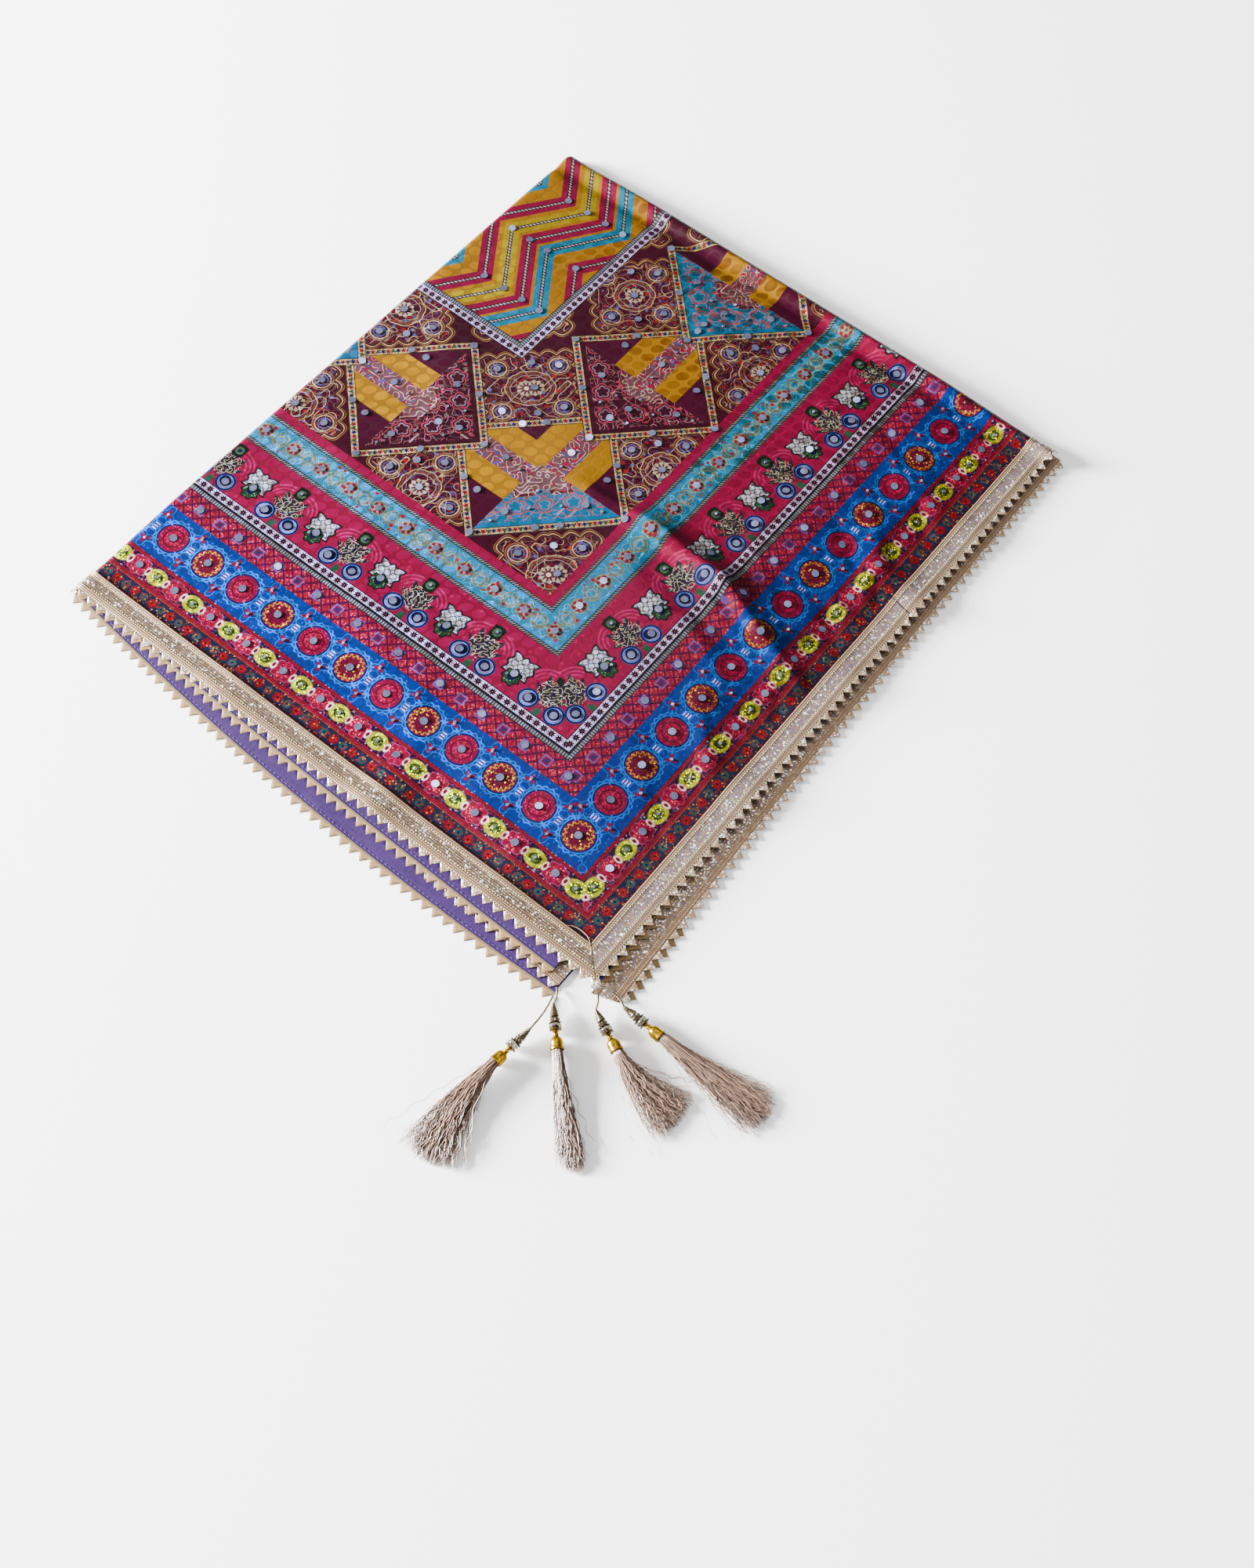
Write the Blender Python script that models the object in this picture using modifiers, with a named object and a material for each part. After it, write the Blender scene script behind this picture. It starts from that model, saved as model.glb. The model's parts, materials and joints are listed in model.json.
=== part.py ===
"""A lined, printed dupatta stole with a lace border and four tassels, folded and lying flat.

The stole is folded in half across its width and then twice along its length. Its open corner,
with the tassels, points to -X and -Y. A place on the pile is given by two lengths from that
corner: "along" runs in +X beside the long side, and "across" runs in +Y beside the short side.
"""

import math

import bmesh
import bpy
from mathutils import Vector

LONG_SIDE = 0.550  # the folded pile, to the tips of the lace
SHORT_SIDE = 0.468
CLOTH = 0.0011  # wall of the printed satin with its lining
GAP = 0.0003  # what touching pieces keep between them

LACE_WIDTH = 0.0232  # from the inner braid to the tips of the teeth
LACE_THICKNESS = 0.0010
TOOTH_HEIGHT = 0.0055
TOOTH_PITCH = 0.0089
LACE_BACK_WIDTH = 0.0075  # what shows of a lace behind the edge of the lining

EDGE_TOP = 0.0053  # height of the printed face at the open edges, where four layers lie
PILE_TOP = 0.0098  # and over the middle of the pile
SLOPE = 0.090  # the face climbs from one to the other over this length
CORE_START = 0.048  # the four edge layers reach in to here, where the folded core begins

ROLL_RADIUS = 0.0090  # the puffy last fold, along the short side
ROLL_TURN = 0.0160  # cloth in its quarter turn
ROLL_RISE = 0.0042
ROLL_CREST = 0.0080  # distance of the crest from the fold
ROLL_WIDTH = 0.0070
ROLL_FADE_START = 0.380  # from here on, towards the first fold, the roll flattens
ROLL_CORNER_SHARE = 0.15  # what is left of its rise there
GROOVE_DEPTH = 0.0020
GROOVE_PLACE = 0.0200  # distance of the groove from the fold
GROOVE_WIDTH = 0.0065
FOLD_RADIUS = 0.0060  # the flat first fold, along the long side
FOLD_TURN = 0.0105
FOLD_RISE = 0.0006
FOLD_WIDTH = 0.0120
CORNER_POINT = 0.3  # how far the corner between the two folds is drawn out to a point
TURN_STEPS = 4
PANEL_STEP = 0.0160  # spacing of the panel's sections

# Soft ridges (height above 0) and troughs (below 0) in the printed face. Each fades out past
# its two ends over a length of CREASE_FADE half widths.
CREASE_COLUMNS = ("along", "across", "end_along", "end_across", "height", "half_width")
CREASES = (
    (0.294, 0.247, 0.299, 0.190, 0.0018, 0.011),
    (0.299, 0.190, 0.292, 0.125, 0.0036, 0.012),
    (0.292, 0.125, 0.262, 0.040, 0.0026, 0.013),
    (0.272, 0.165, 0.258, 0.085, -0.0018, 0.011),
    (0.205, 0.070, 0.160, 0.030, 0.0018, 0.010),
    (0.400, 0.060, 0.352, 0.034, 0.0020, 0.011),
    (0.334, 0.066, 0.312, 0.044, -0.0008, 0.009),
    (0.455, 0.075, 0.440, 0.030, 0.0014, 0.010),
    (0.500, 0.330, 0.470, 0.250, 0.0012, 0.016),
    (0.120, 0.300, 0.080, 0.235, 0.0012, 0.017),
    (0.360, 0.430, 0.300, 0.380, 0.0010, 0.018),
    (0.060, 0.150, 0.036, 0.105, 0.0012, 0.012),
)

CREASE_FADE = 1.5

# Soft buckles in the open edges. The side is that of the edge, and the place is along it.
BUCKLE_COLUMNS = ("side", "place", "height", "half_width")
BUCKLES = (
    ("across", 0.196, 0.0022, 0.018),
    ("across", 0.330, 0.0010, 0.022),
    ("across", 0.096, 0.0008, 0.016),
    ("along", 0.172, 0.0018, 0.017),
    ("along", 0.285, 0.0014, 0.020),
    ("along", 0.372, 0.0024, 0.015),
    ("along", 0.448, 0.0012, 0.015),
)
BUCKLE_REACH = 0.028  # how far a buckle runs in from the lace

# What shows of the layers under the panel, from the floor up. Each stretch goes round the open
# corner. An offset is how far the tips of its lace lie inside (above 0) or outside (below 0) the
# tips of the top lace: at the open corner, half way and at the fold, on the edge that runs
# across and on the one that runs along. The slant draws the inner edge of the lace on the run
# along back towards the corner, where the lace is folded round.
LAYER_COLUMNS = (
    "name", "floor", "lace_width", "fold_clearance",
    "across_corner", "across_middle", "across_fold",
    "along_corner", "along_middle", "along_fold",
    "across_from", "across_to", "along_from", "along_to", "slant",
)
LAYERS = (
    ("bottom", 0.0000, LACE_BACK_WIDTH, 0.0020,
     -0.0215, -0.0234, -0.0026, -0.0222, -0.0090, -0.0040, 0.0215, 0.466, 0.009, 0.071, 0.002),
    ("middle", 0.0014, LACE_WIDTH, 0.0028,
     -0.0175, -0.0040, 0.0020, -0.0200, -0.0112, -0.0086, 0.0225, 0.140, 0.006, 0.547, 0.008),
    ("upper", 0.0028, LACE_BACK_WIDTH, 0.0048,
     -0.0115, -0.0079, 0.0005, -0.0045, 0.0030, 0.0030, 0.031, 0.463, 0.010, 0.081, 0.002),
)
CORNER_TUCK = 0.012  # the stretches are cut back to here under the corner of the top lace
RUN_SAMPLES = 12  # points on each curved edge of a layer

# Each tassel: where the cord leaves the cloth, the tip of its cone, the point that the metal
# parts head for, the middle of the silk's end, and half the width of that end.
TASSEL_COLUMNS = (
    "name", "root_along", "root_across", "root_height", "tip_along", "tip_across",
    "aim_along", "aim_across", "end_along", "end_across", "half_spread",
)
TASSELS = (
    ("tassel_1", -0.0178, 0.0209, 0.0009, -0.0446, 0.0169,
     -0.0760, 0.0201, -0.1475, 0.0125, 0.0190),
    ("tassel_2", -0.0125, 0.0222, 0.0021, -0.0230, 0.0164,
     -0.0445, -0.0043, -0.0965, -0.0600, 0.0090),
    ("tassel_3", -0.0005, -0.0006, 0.0061, -0.0095, -0.0062,
     -0.0200, -0.0286, -0.0335, -0.0905, 0.0185),
    ("tassel_4", 0.0062, -0.0066, 0.0040, 0.0029, -0.0186,
     0.0018, -0.0492, 0.0030, -0.1300, 0.0190),
)
AXIS_HEIGHT = 0.0053  # of the metal parts, which lie on the floor
CORD_RADIUS = 0.0007
CORD_STEPS = 6
CONE_LENGTH = 0.0090
BEADS_LENGTH = 0.0100
CAP_LENGTH = 0.0110
CAP_MOUTH_RADIUS = 0.0044
CAP_WALL = 0.0005
CAP_HOLLOW_START = 0.42  # the inside of the bell, as a share of its length
CAP_HOLLOW_CLOSING = 0.7  # radius of the hollow's end, as a share of the ring before it
HEAD_RADIUS = 0.0036
HEAD_LENGTH = 0.0040
HEAD_INSET = 0.0008  # of the silk's head behind the cap's mouth
ROOT_DEPTH = 0.0012  # of the strands in the head
TURNED_SIDES = 12
STRAND_RINGS = (1, 6, 8, 11)  # strands in each ring of the bundle, from its middle
RING_SPACING = 0.00100
STRAND_RADIUS = 0.00042
STRAND_SWELL = 0.7  # how much thicker a lock of silk is half way down
STRAND_TIP = 0.7  # radius of its tip, as a share of that at its root
STRAND_SECTIONS = 4
STRAND_SHORTER_SIDES = 0.10  # what the outermost strands lose, as a share of their length
STRAND_UNEVEN = 0.05  # how much the strands' lengths differ from one to the next
SPREAD_POWER = 1.4  # above 1, the bundle widens mostly in its lower half
BEND_REACH = 0.45  # the silk leaves the cap straight over this share of its length
SILK_FLATTENING = 0.85  # the bundle's height at its end, as a share of that at the cap
SILK_CLEARANCE = 0.0006  # of the lowest strand's end above the floor

# Turned profiles: each point is a radius and a share of the piece's length.
CONE_PROFILE = ((0.0009, 0.00), (0.0010, 0.12), (0.0017, 0.55), (0.0027, 0.86), (0.0030, 1.00))
HEAD_PROFILE = ((0.0029, 0.00), (HEAD_RADIUS, 0.20), (HEAD_RADIUS, 1.00))
BEADS_PROFILE = (
    (0.0021, 0.00), (0.0031, 0.10), (0.0030, 0.20), (0.0022, 0.28), (0.0049, 0.34),
    (0.0049, 0.40), (0.0034, 0.46), (0.0041, 0.58), (0.0034, 0.72), (0.0049, 0.78),
    (0.0049, 0.84), (0.0022, 0.92), (0.0018, 1.00),
)
CAP_PROFILE = (
    (0.0015, 0.00), (0.0019, 0.08), (0.0015, 0.17), (0.0022, 0.24), (0.0036, 0.36),
    (0.0042, 0.58), (0.0043, 0.90), (CAP_MOUTH_RADIUS, 1.00),
)

COLLECTION = "dupatta_stole"
WELD = 0.00001
SHARP_ANGLE = math.radians(40)


def rows(columns, table):
    """The rows of a table as dictionaries."""
    return [dict(zip(columns, row)) for row in table]


def placed(along, across, height):
    """A place on the pile, in the frame whose origin is the middle of the underside."""
    return Vector((along - LONG_SIDE / 2, across - SHORT_SIDE / 2, height))


def bell(distance, half_width):
    return math.exp(-((distance / half_width) ** 2))


def ease(share):
    share = min(1.0, max(0.0, share))
    return share * share * (3 - 2 * share)


def through_three(start, middle, end, share):
    """The parabola through three values, at 0, 1/2 and 1."""
    return (
        start
        + share * (-3 * start + 4 * middle - end)
        + share * share * (2 * start - 4 * middle + 2 * end)
    )


def crease_height(along, across):
    """All the ridges and troughs at a place, each fading out towards its two ends."""
    height = 0.0
    for crease in rows(CREASE_COLUMNS, CREASES):
        run_along = crease["end_along"] - crease["along"]
        run_across = crease["end_across"] - crease["across"]
        length = math.hypot(run_along, run_across)
        off_along = along - crease["along"]
        off_across = across - crease["across"]
        reach = (off_along * run_along + off_across * run_across) / length
        side = (off_along * run_across - off_across * run_along) / length
        beyond = max(0.0, -reach, reach - length)
        height += (
            crease["height"]
            * bell(side, crease["half_width"])
            * bell(beyond, CREASE_FADE * crease["half_width"])
        )
    return height


def buckle_height(side, place):
    return sum(
        buckle["height"] * bell(place - buckle["place"], buckle["half_width"])
        for buckle in rows(BUCKLE_COLUMNS, BUCKLES)
        if buckle["side"] == side
    )


def inland(distance):
    """0 on the lace, then towards 1 in from it."""
    return ease((distance - LACE_WIDTH) / SLOPE)


def buckle_fade(distance):
    return bell(max(0.0, distance - LACE_WIDTH), BUCKLE_REACH)


def face_height(along, across):
    """Height of the printed face above the floor, before it turns down at a fold."""
    off_crest = along - (LONG_SIDE - ROLL_CREST)
    off_groove = along - (LONG_SIDE - GROOVE_PLACE)
    off_fold = across - (SHORT_SIDE - FOLD_RADIUS)
    from_lace = min(along, across) - LACE_WIDTH
    flattening = ease((across - ROLL_FADE_START) / (SHORT_SIDE - ROLL_FADE_START))
    roll_rise = ROLL_RISE * (1 + (ROLL_CORNER_SHARE - 1) * flattening)
    return (
        EDGE_TOP
        + (PILE_TOP - EDGE_TOP) * inland(along) * inland(across)
        + roll_rise * bell(off_crest, ROLL_WIDTH)
        - GROOVE_DEPTH * bell(off_groove, GROOVE_WIDTH) * inland(across)
        + FOLD_RISE * bell(off_fold, FOLD_WIDTH)
        + crease_height(along, across) * ease(from_lace / LACE_WIDTH)
        + buckle_height("across", across) * buckle_fade(along)
        + buckle_height("along", along) * buckle_fade(across)
    )


def turn_share(distance, side, radius, turn):
    """How far a place has gone round a fold: 0 on top, 1 where the cloth meets the floor."""
    past = (distance - (side - radius)) / turn
    return math.sin(math.pi / 2 * min(1.0, max(0.0, past)))


def panel_point(along, across, out=0.0):
    """A point of the printed face, moved out of it. Past the flat part it goes round the folds."""
    roll = turn_share(along, LONG_SIDE, ROLL_RADIUS, ROLL_TURN)
    fold = turn_share(across, SHORT_SIDE, FOLD_RADIUS, FOLD_TURN)
    roll_reach = roll * math.sqrt(1 - fold * fold / 2)
    fold_reach = fold * math.sqrt(1 - roll * roll / 2)
    lift = math.sqrt(max(0.0, 1 - roll_reach**2 - fold_reach**2))
    point = 1 + CORNER_POINT * (roll * fold) ** 2
    flat_along = min(along, LONG_SIDE - ROLL_RADIUS)
    flat_across = min(across, SHORT_SIDE - FOLD_RADIUS)
    return placed(
        flat_along + (ROLL_RADIUS + out) * roll_reach * point,
        flat_across + (FOLD_RADIUS + out) * fold_reach * point,
        (face_height(flat_along, flat_across) + out) * lift,
    )


def section_places(even_end, flat_end, turn):
    """Where the panel has a section: the lace's edges, even steps, and round the fold."""
    steps = round((even_end - CORE_START) / PANEL_STEP)
    places = [TOOTH_HEIGHT, LACE_WIDTH, CORE_START]
    places += [CORE_START + (even_end - CORE_START) * (i + 1) / steps for i in range(steps)]
    places += [flat_end] if flat_end > even_end else []
    places += [flat_end + turn * (i + 1) / TURN_STEPS for i in range(TURN_STEPS)]
    return places


ALONG_PLACES = section_places(LONG_SIDE - GROOVE_PLACE, LONG_SIDE - ROLL_RADIUS, ROLL_TURN)
ACROSS_PLACES = section_places(SHORT_SIDE - FOLD_RADIUS, SHORT_SIDE - FOLD_RADIUS, FOLD_TURN)


def between_sections(side, place, edge_distance, out):
    """A point of the panel's border, on the straight line between two of its sections."""
    places = ALONG_PLACES if side == "along" else ACROSS_PLACES
    last = len(places) - 2
    index = max((i for i in range(last + 1) if places[i] <= place), default=0)
    low, high = places[index], places[index + 1]
    share = (place - low) / (high - low)
    if side == "along":
        ends = [panel_point(at, edge_distance, out) for at in (low, high)]
    else:
        ends = [panel_point(edge_distance, at, out) for at in (low, high)]
    return ends[0].lerp(ends[1], share)


def finish_object(name, data, material):
    """Links an object of this data under the part's collection, with its material."""
    obj = bpy.data.objects.new(name, data)
    parts.objects.link(obj)
    data.materials.append(material)
    return obj


def mesh_object(name, bm, material):
    bmesh.ops.recalc_face_normals(bm, faces=bm.faces)
    if bm.calc_volume(signed=True) < 0:
        bmesh.ops.reverse_faces(bm, faces=bm.faces)
    mesh = bpy.data.meshes.new(name)
    bm.to_mesh(mesh)
    bm.free()
    obj = finish_object(name, mesh, material)
    mesh.shade_smooth()
    mesh.set_sharp_from_angle(angle=SHARP_ANGLE)
    return obj


def wall_between(name, outer, inner, material):
    """A closed wall lofted between two grids of points of the same size."""
    bm = bmesh.new()
    grids = [[[bm.verts.new(p) for p in line] for line in grid] for grid in (outer, inner)]
    lines, points = len(outer), len(outer[0])
    for grid in grids:
        for i in range(lines - 1):
            for j in range(points - 1):
                bm.faces.new((grid[i][j], grid[i + 1][j], grid[i + 1][j + 1], grid[i][j + 1]))
    rim = [(i, 0) for i in range(lines)]
    rim += [(lines - 1, j) for j in range(1, points)]
    rim += [(i, points - 1) for i in range(lines - 2, -1, -1)]
    rim += [(0, j) for j in range(points - 2, 0, -1)]
    for (i, j), (k, m) in zip(rim, rim[1:] + rim[:1]):
        bm.faces.new((grids[0][i][j], grids[0][k][m], grids[1][k][m], grids[1][i][j]))
    bmesh.ops.remove_doubles(bm, verts=bm.verts, dist=WELD)
    return mesh_object(name, bm, material)


def flat_piece(name, outline, floor, thickness, material):
    """A flat piece of cloth or lace: a filled outline, extruded."""
    curve = bpy.data.curves.new(name, "CURVE")
    curve.dimensions = "2D"
    curve.fill_mode = "BOTH"
    curve.extrude = thickness / 2
    spline = curve.splines.new("POLY")
    spline.points.add(len(outline) - 1)
    for point, (along, across) in zip(spline.points, outline):
        place = placed(along, across, 0)
        point.co = (place.x, place.y, 0, 1)
    spline.use_cyclic_u = True
    obj = finish_object(name, curve, material)
    obj.location.z = floor + thickness / 2
    return obj


def principled(name, colour, roughness, metallic=0.0):
    material = bpy.data.materials.new(name)
    material.use_nodes = True
    shader = material.node_tree.nodes["Principled BSDF"]
    shader.inputs["Base Color"].default_value = (*colour, 1)
    shader.inputs["Roughness"].default_value = roughness
    shader.inputs["Metallic"].default_value = metallic
    return material


def make_printed_panel():
    """The top layer: the printed satin, which turns down to the floor at both folds."""
    outer = [[panel_point(a, b) for b in ACROSS_PLACES] for a in ALONG_PLACES]
    inner = [[panel_point(a, b, -CLOTH) for b in ACROSS_PLACES] for a in ALONG_PLACES]
    wall_between("printed_panel", outer, inner, printed)


def make_folded_layers():
    """The hidden layers as one rounded solid, flat underneath."""
    under = -(CLOTH + GAP)
    alongs = [place for place in ALONG_PLACES if place >= CORE_START]
    acrosses = [place for place in ACROSS_PLACES if place >= CORE_START]
    bm = bmesh.new()
    grid = [[bm.verts.new(panel_point(a, b, under)) for b in acrosses] for a in alongs]
    for i in range(len(alongs) - 1):
        for j in range(len(acrosses) - 1):
            bm.faces.new((grid[i][j], grid[i + 1][j], grid[i + 1][j + 1], grid[i][j + 1]))
    open_rim = [line[0] for line in reversed(grid)] + grid[0][1:]
    feet = [vert if vert.co.z < GAP / 2 else bm.verts.new((vert.co.x, vert.co.y, 0))
            for vert in open_rim]
    for i in range(len(open_rim) - 1):
        ring = [open_rim[i], open_rim[i + 1], feet[i + 1], feet[i]]
        bm.faces.new([vert for k, vert in enumerate(ring) if vert not in ring[:k]])
    fold_rim = [line[-1] for line in grid[1:]] + list(reversed(grid[-1][1:-1]))
    for vert in fold_rim:
        vert.co.z = 0
    underside = bm.faces.new(feet + fold_rim)
    bmesh.ops.triangulate(bm, faces=[underside])
    mesh_object("folded_layers", bm, printed_under)


def run_offset(layer, side, place):
    """How far in from the top lace's tips a layer's lace tips lie, at a place on their run."""
    length = LONG_SIDE if side == "along" else SHORT_SIDE
    values = [layer[f"{side}_{where}"] for where in ("corner", "middle", "fold")]
    return through_three(*values, place / length)


def on_run(side, place, distance):
    """A place on a run, as (along, across)."""
    return (place, distance) if side == "along" else (distance, place)


def layer_edge(layer, side):
    """The cut edge of a layer's cloth on one run, from the open corner to the fold."""
    length = LONG_SIDE if side == "along" else SHORT_SIDE
    start = layer[f"{side}_from"] + GAP
    end = length - layer["fold_clearance"]
    setback = layer["lace_width"] + GAP
    edge = []
    for i in range(RUN_SAMPLES + 1):
        place = start + (end - start) * i / RUN_SAMPLES
        edge.append(on_run(side, place, run_offset(layer, side, place) + setback))
    return edge


def make_layer(layer):
    """What shows of a lower layer, and as much under the panel: an L-shaped wall."""
    inner = CORE_START - GAP
    long_end = LONG_SIDE - layer["fold_clearance"]
    short_end = SHORT_SIDE - layer["fold_clearance"]
    along_edge = layer_edge(layer, "along")
    outline = list(reversed(layer_edge(layer, "across")))
    outline.append((CORNER_TUCK, layer["across_from"]))
    outline.append((along_edge[0][0], max(CORNER_TUCK, along_edge[0][1] + GAP)))
    outline += along_edge
    outline += [(long_end, inner), (inner, inner), (inner, short_end)]
    material = printed_under if layer["name"] == "middle" else lining
    flat_piece(f"{layer['name']}_layer", outline, layer["floor"], CLOTH, material)


def make_layer_lace(layer, side):
    """The lace on a lower layer's edge, with its teeth cut out."""
    start, end = layer[f"{side}_from"], layer[f"{side}_to"]
    slant = layer["slant"] if side == "along" else 0.0
    teeth = round((end - start) / TOOTH_PITCH)
    tips, inner = [], []
    for i in range(2 * teeth + 1):
        place = start + (end - start) * i / (2 * teeth)
        tip = run_offset(layer, side, place)
        valley = TOOTH_HEIGHT if i % 2 == 0 else 0.0
        tips.append(on_run(side, place, tip + valley))
        if i == 0:
            inner.append(on_run(side, place - slant, tip + layer["lace_width"]))
        elif i % 4 == 0 or i == 2 * teeth:
            inner.append(on_run(side, place, tip + layer["lace_width"]))
    name = f"{layer['name']}_lace_{side}"
    material = lace if layer["name"] == "middle" else lace_back
    flat_piece(name, tips + inner[::-1], layer["floor"], LACE_THICKNESS, material)


def tooth_edge(place):
    """The zigzag of the teeth: how far its edge lies in from the tips' line. The corner is full."""
    if place < TOOTH_PITCH / 2:
        return 0.0
    share = (place / TOOTH_PITCH) % 1.0
    return TOOTH_HEIGHT * abs(2 * share - 1)


def make_top_lace(side):
    """The lace on the top layer's edge, made from the panel's points moved out, and mitred."""
    sections = ALONG_PLACES if side == "along" else ACROSS_PLACES
    halves = 2 * math.floor(sections[-1] / TOOTH_PITCH)
    places = [GAP] + [TOOTH_PITCH * i / 2 for i in range(1, halves + 1)]
    places += [at for at in sections if min(abs(at - place) for place in places) > GAP / 2]
    grids = []
    for out in (GAP + LACE_THICKNESS, GAP):
        inner, teeth = [], []
        for place in sorted(places):
            edge = min(tooth_edge(place), TOOTH_HEIGHT - GAP)
            mitred = max(place, LACE_WIDTH + GAP)
            inner.append(between_sections(side, mitred, LACE_WIDTH, out))
            teeth.append(between_sections(side, max(place, edge + GAP), edge, out))
        grids.append([inner, teeth])
    wall_between(f"top_lace_{side}", grids[0], grids[1], lace)


def turned(name, profile, start, direction, length, material, hollow=()):
    """A turned piece on a line: an outer profile, and the hollow's profile from its mouth."""
    points = [(0.0, 0.0)] if profile[0][0] > 0 else []
    points += [(radius, share * length) for radius, share in profile]
    points += [(radius, share * length) for radius, share in hollow]
    points.append((0.0, points[-1][1]))
    mesh = bpy.data.meshes.new(name)
    edges = [(i, i + 1) for i in range(len(points) - 1)]
    mesh.from_pydata([(radius, 0, -depth) for radius, depth in points], edges, [])
    obj = finish_object(name, mesh, material)
    screw = obj.modifiers.new("turned", "SCREW")
    screw.axis = "Z"
    screw.steps = screw.render_steps = TURNED_SIDES
    screw.use_merge_vertices = True
    screw.merge_threshold = WELD
    obj.rotation_mode = "QUATERNION"
    obj.rotation_quaternion = Vector((0, 0, -1)).rotation_difference(direction)
    obj.location = start
    return obj


def make_cord(name, root, tip):
    """The metallic cord from the cloth's corner to the cone, with a little slack."""
    curve = bpy.data.curves.new(name, "CURVE")
    curve.dimensions = "3D"
    curve.bevel_depth = CORD_RADIUS
    curve.bevel_resolution = 1
    curve.use_fill_caps = True
    spline = curve.splines.new("POLY")
    spline.points.add(CORD_STEPS)
    for i, point in enumerate(spline.points):
        share = i / CORD_STEPS
        place = root.lerp(tip, share)
        place.z = root.z + (tip.z - root.z) * ease(share)
        point.co = (*place, 1)
    finish_object(name, curve, cord_thread)


def strand_points(ring, turn, mouth, control, end, aim, half_spread):
    """One strand's middle line: its place in the head, spread and flattened towards its end."""
    offset_side = ring * RING_SPACING * math.cos(turn)
    offset_up = ring * RING_SPACING * math.sin(turn)
    outermost = (len(STRAND_RINGS) - 1) * RING_SPACING
    widest = half_spread / outermost
    end_height = SILK_CLEARANCE + STRAND_RADIUS + outermost * SILK_FLATTENING
    shorter = STRAND_SHORTER_SIDES * (offset_side / outermost) ** 2
    shorter += STRAND_UNEVEN * math.sin(5 * turn + ring)
    points = []
    for i in range(STRAND_SECTIONS + 1):
        share = i / STRAND_SECTIONS * (1 - shorter)
        middle = mouth.lerp(control, share).lerp(control.lerp(end, share), share)
        heading = ((control - mouth).lerp(end - control, share)).normalized()
        side = Vector((-heading.y, heading.x, 0))
        width = 1 + (widest - 1) * share**SPREAD_POWER
        flatness = 1 + (SILK_FLATTENING - 1) * share
        height = AXIS_HEIGHT + (end_height - AXIS_HEIGHT) * ease(share) + offset_up * flatness
        place = middle + side * (offset_side * width)
        points.append(Vector((place.x, place.y, height)))
    root = points[0] - aim * (HEAD_INSET + ROOT_DEPTH)
    return [root] + points


def make_silk(name, mouth, end, aim, half_spread):
    """The silk: a head inside the cap with its strands fused into it."""
    curve = bpy.data.curves.new(name + "_strands", "CURVE")
    curve.dimensions = "3D"
    curve.bevel_depth = STRAND_RADIUS
    curve.bevel_resolution = 0
    curve.use_fill_caps = True
    reach = (end - mouth).length
    control = mouth + aim * (BEND_REACH * reach)
    for ring, count in enumerate(STRAND_RINGS):
        for i in range(count):
            turn = 2 * math.pi * (i + 0.5 * (ring % 2)) / count
            points = strand_points(ring, turn, mouth, control, end, aim, half_spread)
            spline = curve.splines.new("POLY")
            spline.points.add(len(points) - 1)
            for k, (point, place) in enumerate(zip(spline.points, points)):
                point.co = (*place, 1)
                share = k / (len(points) - 1)
                swell = STRAND_SWELL * math.sin(math.pi * share) ** 2
                point.radius = 1 + (STRAND_TIP - 1) * share + swell
    guide = bpy.data.objects.new(name + "_guide", curve)
    cutters.objects.link(guide)
    bpy.context.view_layer.update()
    strands_mesh = bpy.data.meshes.new_from_object(
        guide.evaluated_get(bpy.context.evaluated_depsgraph_get()))
    bpy.data.objects.remove(guide)
    bm = bmesh.new()
    bm.from_mesh(strands_mesh)
    bmesh.ops.remove_doubles(bm, verts=bm.verts, dist=WELD)
    bmesh.ops.recalc_face_normals(bm, faces=bm.faces)
    bm.to_mesh(strands_mesh)
    bm.free()
    strands = bpy.data.objects.new(name + "_strands", strands_mesh)
    cutters.objects.link(strands)
    strands.hide_render = True
    strands.display_type = "WIRE"
    start = mouth - aim * (HEAD_INSET + HEAD_LENGTH)
    head = turned(name, HEAD_PROFILE, start, aim, HEAD_LENGTH, silk)
    union = head.modifiers.new("strands", "BOOLEAN")
    union.operation = "UNION"
    union.solver = "EXACT"
    union.object = strands


def make_tassel(tassel):
    """One tassel: cord, filigree cone, beads, bell cap and silk, all on one line."""
    name = tassel["name"]
    root = placed(tassel["root_along"], tassel["root_across"], tassel["root_height"])
    tip = placed(tassel["tip_along"], tassel["tip_across"], AXIS_HEIGHT)
    target = placed(tassel["aim_along"], tassel["aim_across"], AXIS_HEIGHT)
    end = placed(tassel["end_along"], tassel["end_across"], AXIS_HEIGHT)
    aim = (target - tip).normalized()
    make_cord(f"{name}_cord", root, tip - aim * GAP)
    turned(f"{name}_cone", CONE_PROFILE, tip, aim, CONE_LENGTH, filigree)
    beads_start = tip + aim * (CONE_LENGTH + GAP)
    turned(f"{name}_beads", BEADS_PROFILE, beads_start, aim, BEADS_LENGTH, crystal)
    cap_start = beads_start + aim * (BEADS_LENGTH + GAP)
    hollow = [(radius - CAP_WALL, share) for radius, share in reversed(CAP_PROFILE)
              if share > CAP_HOLLOW_START]
    hollow.append((hollow[-1][0] * CAP_HOLLOW_CLOSING, CAP_HOLLOW_START))
    turned(f"{name}_cap", CAP_PROFILE, cap_start, aim, CAP_LENGTH, gold, hollow)
    mouth = cap_start + aim * CAP_LENGTH
    make_silk(f"{name}_silk", mouth, end, aim, tassel["half_spread"])


for old in list(bpy.data.objects):
    bpy.data.objects.remove(old)

parts = bpy.data.collections.new(COLLECTION)
cutters = bpy.data.collections.new(COLLECTION + "_guides")
bpy.context.scene.collection.children.link(parts)
bpy.context.scene.collection.children.link(cutters)

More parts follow.
